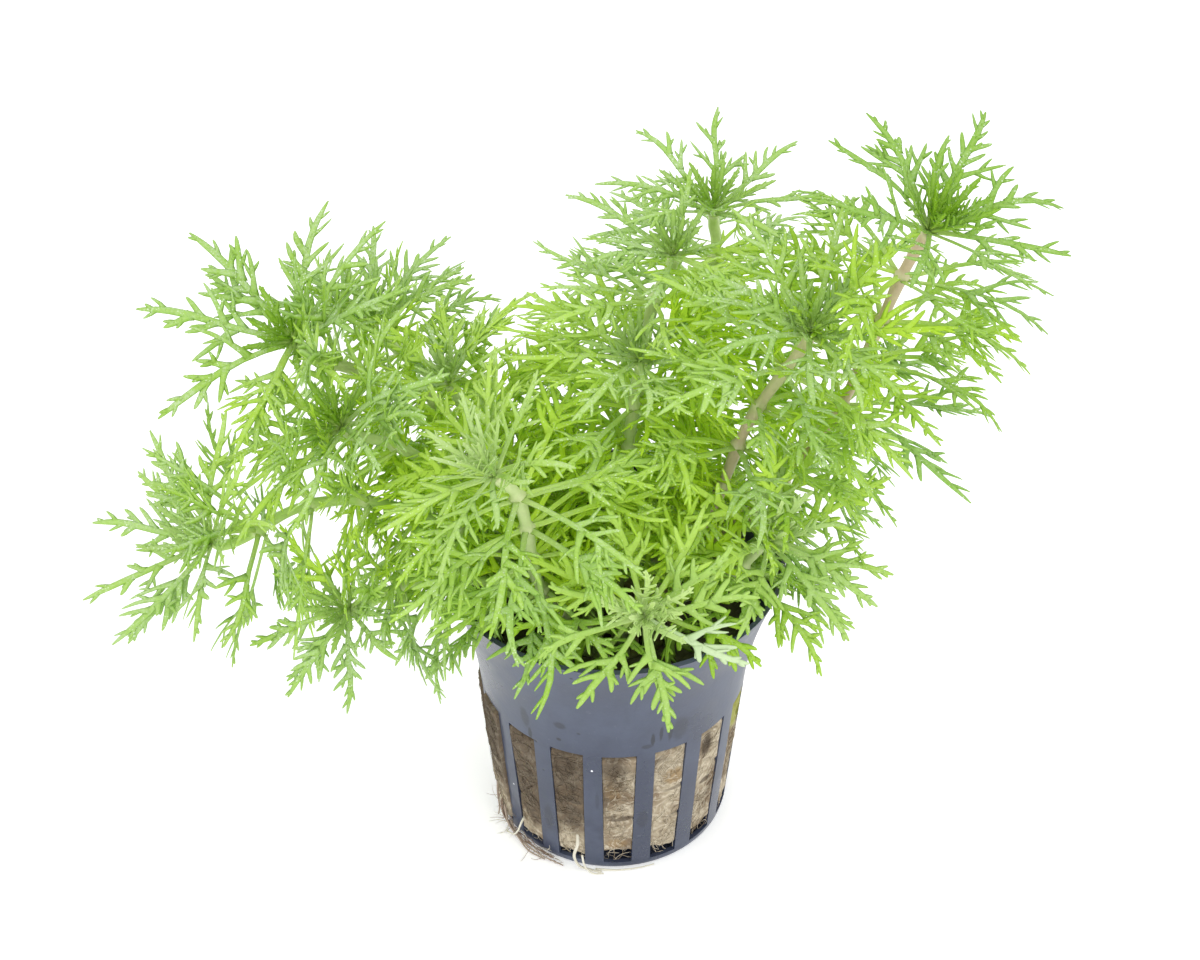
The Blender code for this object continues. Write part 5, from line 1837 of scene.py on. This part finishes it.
# The lights, as (name, place in metres, size), and the place that they point at
LIGHTS = [("key", (0.6, -0.7, 1.0), 0.9), ("fill", (-1.0, -0.6, 0.7), 1.0), ("back", (0.0, 1.0, 0.9), 1.0)]
LIGHTS_AIM = Vector((0, 0, 0.06))


def build_stage(settings):
    """A pale floor, a white sky, three large soft lights, and the camera."""
    corners = FLOOR_HALF * np.array([(-1, -1, 0), (1, -1, 0), (1, 1, 0), (-1, 1, 0)])
    mesh = make_mesh("stage_floor", corners, np.array([[0, 1, 2, 3]]))
    floor = bpy.data.objects.new("stage_floor", mesh)
    bpy.context.scene.collection.objects.link(floor)
    mesh.materials.append(floor_material(settings))

    world = bpy.data.worlds.new("studio")
    world.use_nodes = True
    sky = world.node_tree.nodes["Background"]
    sky.inputs["Color"].default_value = (1.0, 1.0, 1.0, 1.0)
    sky.inputs["Strength"].default_value = settings.sky
    bpy.context.scene.world = world

    for name, place, size in LIGHTS:
        light = bpy.data.lights.new(name + "_light", "AREA")
        light.shape = "DISK"
        light.size = size
        light.energy = getattr(settings, name)
        lamp = bpy.data.objects.new(name + "_light", light)
        lamp.location = place
        lamp.rotation_euler = (LIGHTS_AIM - Vector(place)).to_track_quat("-Z", "Y").to_euler()
        bpy.context.scene.collection.objects.link(lamp)

    camera = bpy.data.cameras.new("camera")
    camera.lens = CAMERA_LENS
    camera.sensor_width = SENSOR
    camera.clip_start = 0.01
    camera.clip_end = 20.0
    eye = bpy.data.objects.new("camera", camera)
    tilt = math.radians(CAMERA_ELEVATION)
    back = Vector((0, -math.cos(tilt), math.sin(tilt))) * CAMERA_DISTANCE
    eye.location = (Vector(LOOK_AT) + back) * MM
    eye.rotation_euler = (math.pi / 2 - tilt, 0, 0)
    bpy.context.scene.collection.objects.link(eye)
    bpy.context.scene.camera = eye
    bpy.context.scene.view_settings.view_transform = "Standard"
    bpy.context.scene.view_settings.look = "None"


# Settings, operators and panel


def colour_property(name, description, default):
    return bpy.props.FloatVectorProperty(name=name, description=description, default=default,
                                         subtype="COLOR", min=0.0, max=1.0)


def length_property(name, description, default):
    return bpy.props.FloatProperty(name=name, description=description, default=default,
                                   min=0.0, precision=5, unit="LENGTH")


def number_property(name, description, default):
    return bpy.props.FloatProperty(name=name, description=description, default=default, min=0.0)


class AmbuliaPotSettings(bpy.types.PropertyGroup):
    wall: length_property("Wall", "Thickness of the pot's wall", 0.0007)
    edge: length_property("Edge", "Size of the rounding on the pot's edges", 0.00012)
    colour: colour_property("Colour", "The dry plastic", (0.061, 0.077, 0.126))
    damp: colour_property("Damp", "Damp and smeared places on the plastic", (0.036, 0.046, 0.082))
    mark: colour_property("Mark", "Smudges, scratches and pits", (0.012, 0.014, 0.022))
    # The white of the drops is a painted highlight
    drop_glint: colour_property("Drop", "Drops that catch the light", (0.90, 0.92, 0.95))
    dust: colour_property("Dust", "Fine pale dust on the plastic", (0.28, 0.30, 0.34))


class AmbuliaWoolSettings(bpy.types.PropertyGroup):
    fibre_count: bpy.props.IntProperty(name="Fibres", description="Loose fibres over the plug's side",
                                       default=5200, min=0)
    fibre_radius: length_property("Fibre radius", "Radius of a loose fibre", 0.000045)
    beige: colour_property("Beige", "Clean mineral wool", (0.425, 0.36, 0.255))
    brown: colour_property("Brown", "Damp wool", (0.21, 0.15, 0.092))
    # Also painted as shade into the wool's creases and hollows
    stain: colour_property("Stain", "Dirty wool", (0.080, 0.056, 0.034))
    algae: colour_property("Algae", "Algae on the wool", (0.30, 0.32, 0.04))
    rust: colour_property("Rust", "Reddish-brown patches", (0.30, 0.19, 0.075))
    pale: colour_property("Pale", "Single fibres in the light", (0.68, 0.61, 0.48))
    # Partly moss and partly painted shade under the leaves
    moss_and_shade: colour_property("Moss", "The plug's shaded top", (0.06, 0.065, 0.02))


class AmbuliaStemSettings(bpy.types.PropertyGroup):
    radius: length_property("Radius", "A stem's radius between its nodes", 0.00095)
    green: colour_property("Pale green", "A pale stem", (0.58, 0.70, 0.32))
    leafy: colour_property("Leaf green", "A stem as green as its leaves", (0.36, 0.56, 0.10))
    pink: colour_property("Pink", "A stem with a pink tinge", (0.62, 0.47, 0.34))
    ring: colour_property("Ring", "The ring at a node", (0.70, 0.74, 0.42))


class AmbuliaLeafSettings(bpy.types.PropertyGroup):
    lobe_breadth: number_property("Lobe breadth", "How broad the lobes are, 1 as on the middle shoots", 1.0)
    young_count: bpy.props.IntProperty(name="Young leaves", description="Short leaves round each tip",
                                       default=18, min=0)
    cool: colour_property("Cool green", "Leaves of the cooler shoots", (0.38, 0.62, 0.125))
    warm: colour_property("Warm green", "Leaves of the warmer shoots", (0.33, 0.57, 0.016))
    deep: colour_property("Deep green", "Leaves of the darker shoots", (0.21, 0.42, 0.045))
    rim: colour_property("Rim green", "The edges of the lobes", (0.25, 0.45, 0.09))
    young: colour_property("Young green", "The youngest leaves", (0.20, 0.40, 0.006))
    pale: colour_property("Pale green", "The youngest leaves of the pale shoots", (0.72, 0.86, 0.44))
    # Painted light: a bright, vivid green that stands in for light coming through the leaves round those deep
    # in the bunch
    inner: colour_property("Inner green", "Leaves deep in the bunch", (0.58, 0.86, 0.010))
    lit: colour_property("Lit green", "Undersides with light coming through", (0.55, 0.80, 0.05))
    # Partly powder and partly a painted sheen of the white surroundings
    frost_and_sheen: colour_property("Frosty green", "Powder on the leaves", (0.60, 0.72, 0.50))
    bleached: colour_property("Bleached", "A leaf that has lost its green", (0.66, 0.78, 0.56))
    stalk: colour_property("Stalk green", "Leaf stalks and midribs", (0.55, 0.72, 0.20))
    # How much of the powder and painted sheen lies on the leaves
    powder_and_sheen: number_property("Powder", "How much pale powder lies on the leaves", 0.7)
    # Pale specks that are partly painted glints, stronger on faces turned up
    speck_and_glint: colour_property("Speck", "Tiny pale specks on the leaves", (0.86, 0.94, 0.80))
    speck_and_glint_strength: number_property("Specks", "How strongly the specks show", 0.55)


class AmbuliaRootSettings(bpy.types.PropertyGroup):
    radius: length_property("Radius", "A thick root's radius", 0.00032)
    hair_count: bpy.props.IntProperty(name="Root hairs", description="Fine hairs on the bundle at the left",
                                      default=90, min=0)
    fresh: colour_property("Fresh", "New roots", (0.75, 0.72, 0.60))
    old: colour_property("Old", "Old roots", (0.22, 0.12, 0.08))


class AmbuliaStageSettings(bpy.types.PropertyGroup):
    floor: colour_property("Floor", "The floor", (0.90, 0.90, 0.90))
    glow: number_property("Glow", "How much light shines up through the white floor", 0.3)
    sky: number_property("Sky", "Strength of the white surroundings", 1.12)
    key: number_property("Key light", "Power of the light at the front right, in watts", 2.5)
    fill: number_property("Fill light", "Power of the light at the left, in watts", 1.8)
    back: number_property("Back light", "Power of the light behind, in watts", 1.2)


class AMBULIA_OT_pot(bpy.types.Operator):
    """Build the slotted pot"""
    bl_idname = "ambulia.pot"
    bl_label = "Slotted pot"

    def execute(self, context):
        build_pot(context.scene.ambulia_pot)
        return {"FINISHED"}


class AMBULIA_OT_wool(bpy.types.Operator):
    """Build the rockwool plug with its fibres"""
    bl_idname = "ambulia.wool"
    bl_label = "Rockwool plug"

    def execute(self, context):
        build_wool(context.scene.ambulia_wool)
        return {"FINISHED"}


class AMBULIA_OT_stems(bpy.types.Operator):
    """Build the jointed stems"""
    bl_idname = "ambulia.stems"
    bl_label = "Stems"

    def execute(self, context):
        build_stems(context.scene.ambulia_stems)
        return {"FINISHED"}


class AMBULIA_OT_leaves(bpy.types.Operator):
    """Build the crowns and whorls of divided leaves"""
    bl_idname = "ambulia.leaves"
    bl_label = "Leaves"

    def execute(self, context):
        build_leaves(context.scene.ambulia_leaves)
        return {"FINISHED"}


class AMBULIA_OT_roots(bpy.types.Operator):
    """Build the roots that come out of the slots"""
    bl_idname = "ambulia.roots"
    bl_label = "Roots"

    def execute(self, context):
        build_roots(context.scene.ambulia_roots)
        return {"FINISHED"}


class AMBULIA_OT_stage(bpy.types.Operator):
    """Build the floor, the lights and the camera"""
    bl_idname = "ambulia.stage"
    bl_label = "Stage"

    def execute(self, context):
        build_stage(context.scene.ambulia_stage)
        return {"FINISHED"}


SETTINGS = {
    "ambulia_stage": AmbuliaStageSettings,
    "ambulia_pot": AmbuliaPotSettings,
    "ambulia_wool": AmbuliaWoolSettings,
    "ambulia_roots": AmbuliaRootSettings,
    "ambulia_stems": AmbuliaStemSettings,
    "ambulia_leaves": AmbuliaLeafSettings,
}
OPERATORS = (AMBULIA_OT_stage, AMBULIA_OT_pot, AMBULIA_OT_wool, AMBULIA_OT_roots, AMBULIA_OT_stems,
             AMBULIA_OT_leaves)


class AMBULIA_PT_panel(bpy.types.Panel):
    """Lists the pieces with their settings"""
    bl_idname = "AMBULIA_PT_panel"
    bl_label = "Giant ambulia"
    bl_space_type = "VIEW_3D"
    bl_region_type = "UI"
    bl_category = "Ambulia"

    def draw(self, context):
        for operator, (name, settings) in zip(OPERATORS, SETTINGS.items()):
            box = self.layout.box()
            box.operator(operator.bl_idname)
            for field in settings.__annotations__:
                box.prop(getattr(context.scene, name), field)


def register():
    for name, settings in SETTINGS.items():
        bpy.utils.register_class(settings)
        setattr(bpy.types.Scene, name, bpy.props.PointerProperty(type=settings))
    for operator in OPERATORS:
        bpy.utils.register_class(operator)
    bpy.utils.register_class(AMBULIA_PT_panel)


def unregister():
    bpy.utils.unregister_class(AMBULIA_PT_panel)
    for operator in reversed(OPERATORS):
        bpy.utils.unregister_class(operator)
    for name, settings in reversed(SETTINGS.items()):
        delattr(bpy.types.Scene, name)
        bpy.utils.unregister_class(settings)


def main():
    register()
    for operator in OPERATORS:
        group, name = operator.bl_idname.split(".")
        getattr(getattr(bpy.ops, group), name)()
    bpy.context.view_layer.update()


if __name__ == "__main__":
    main()
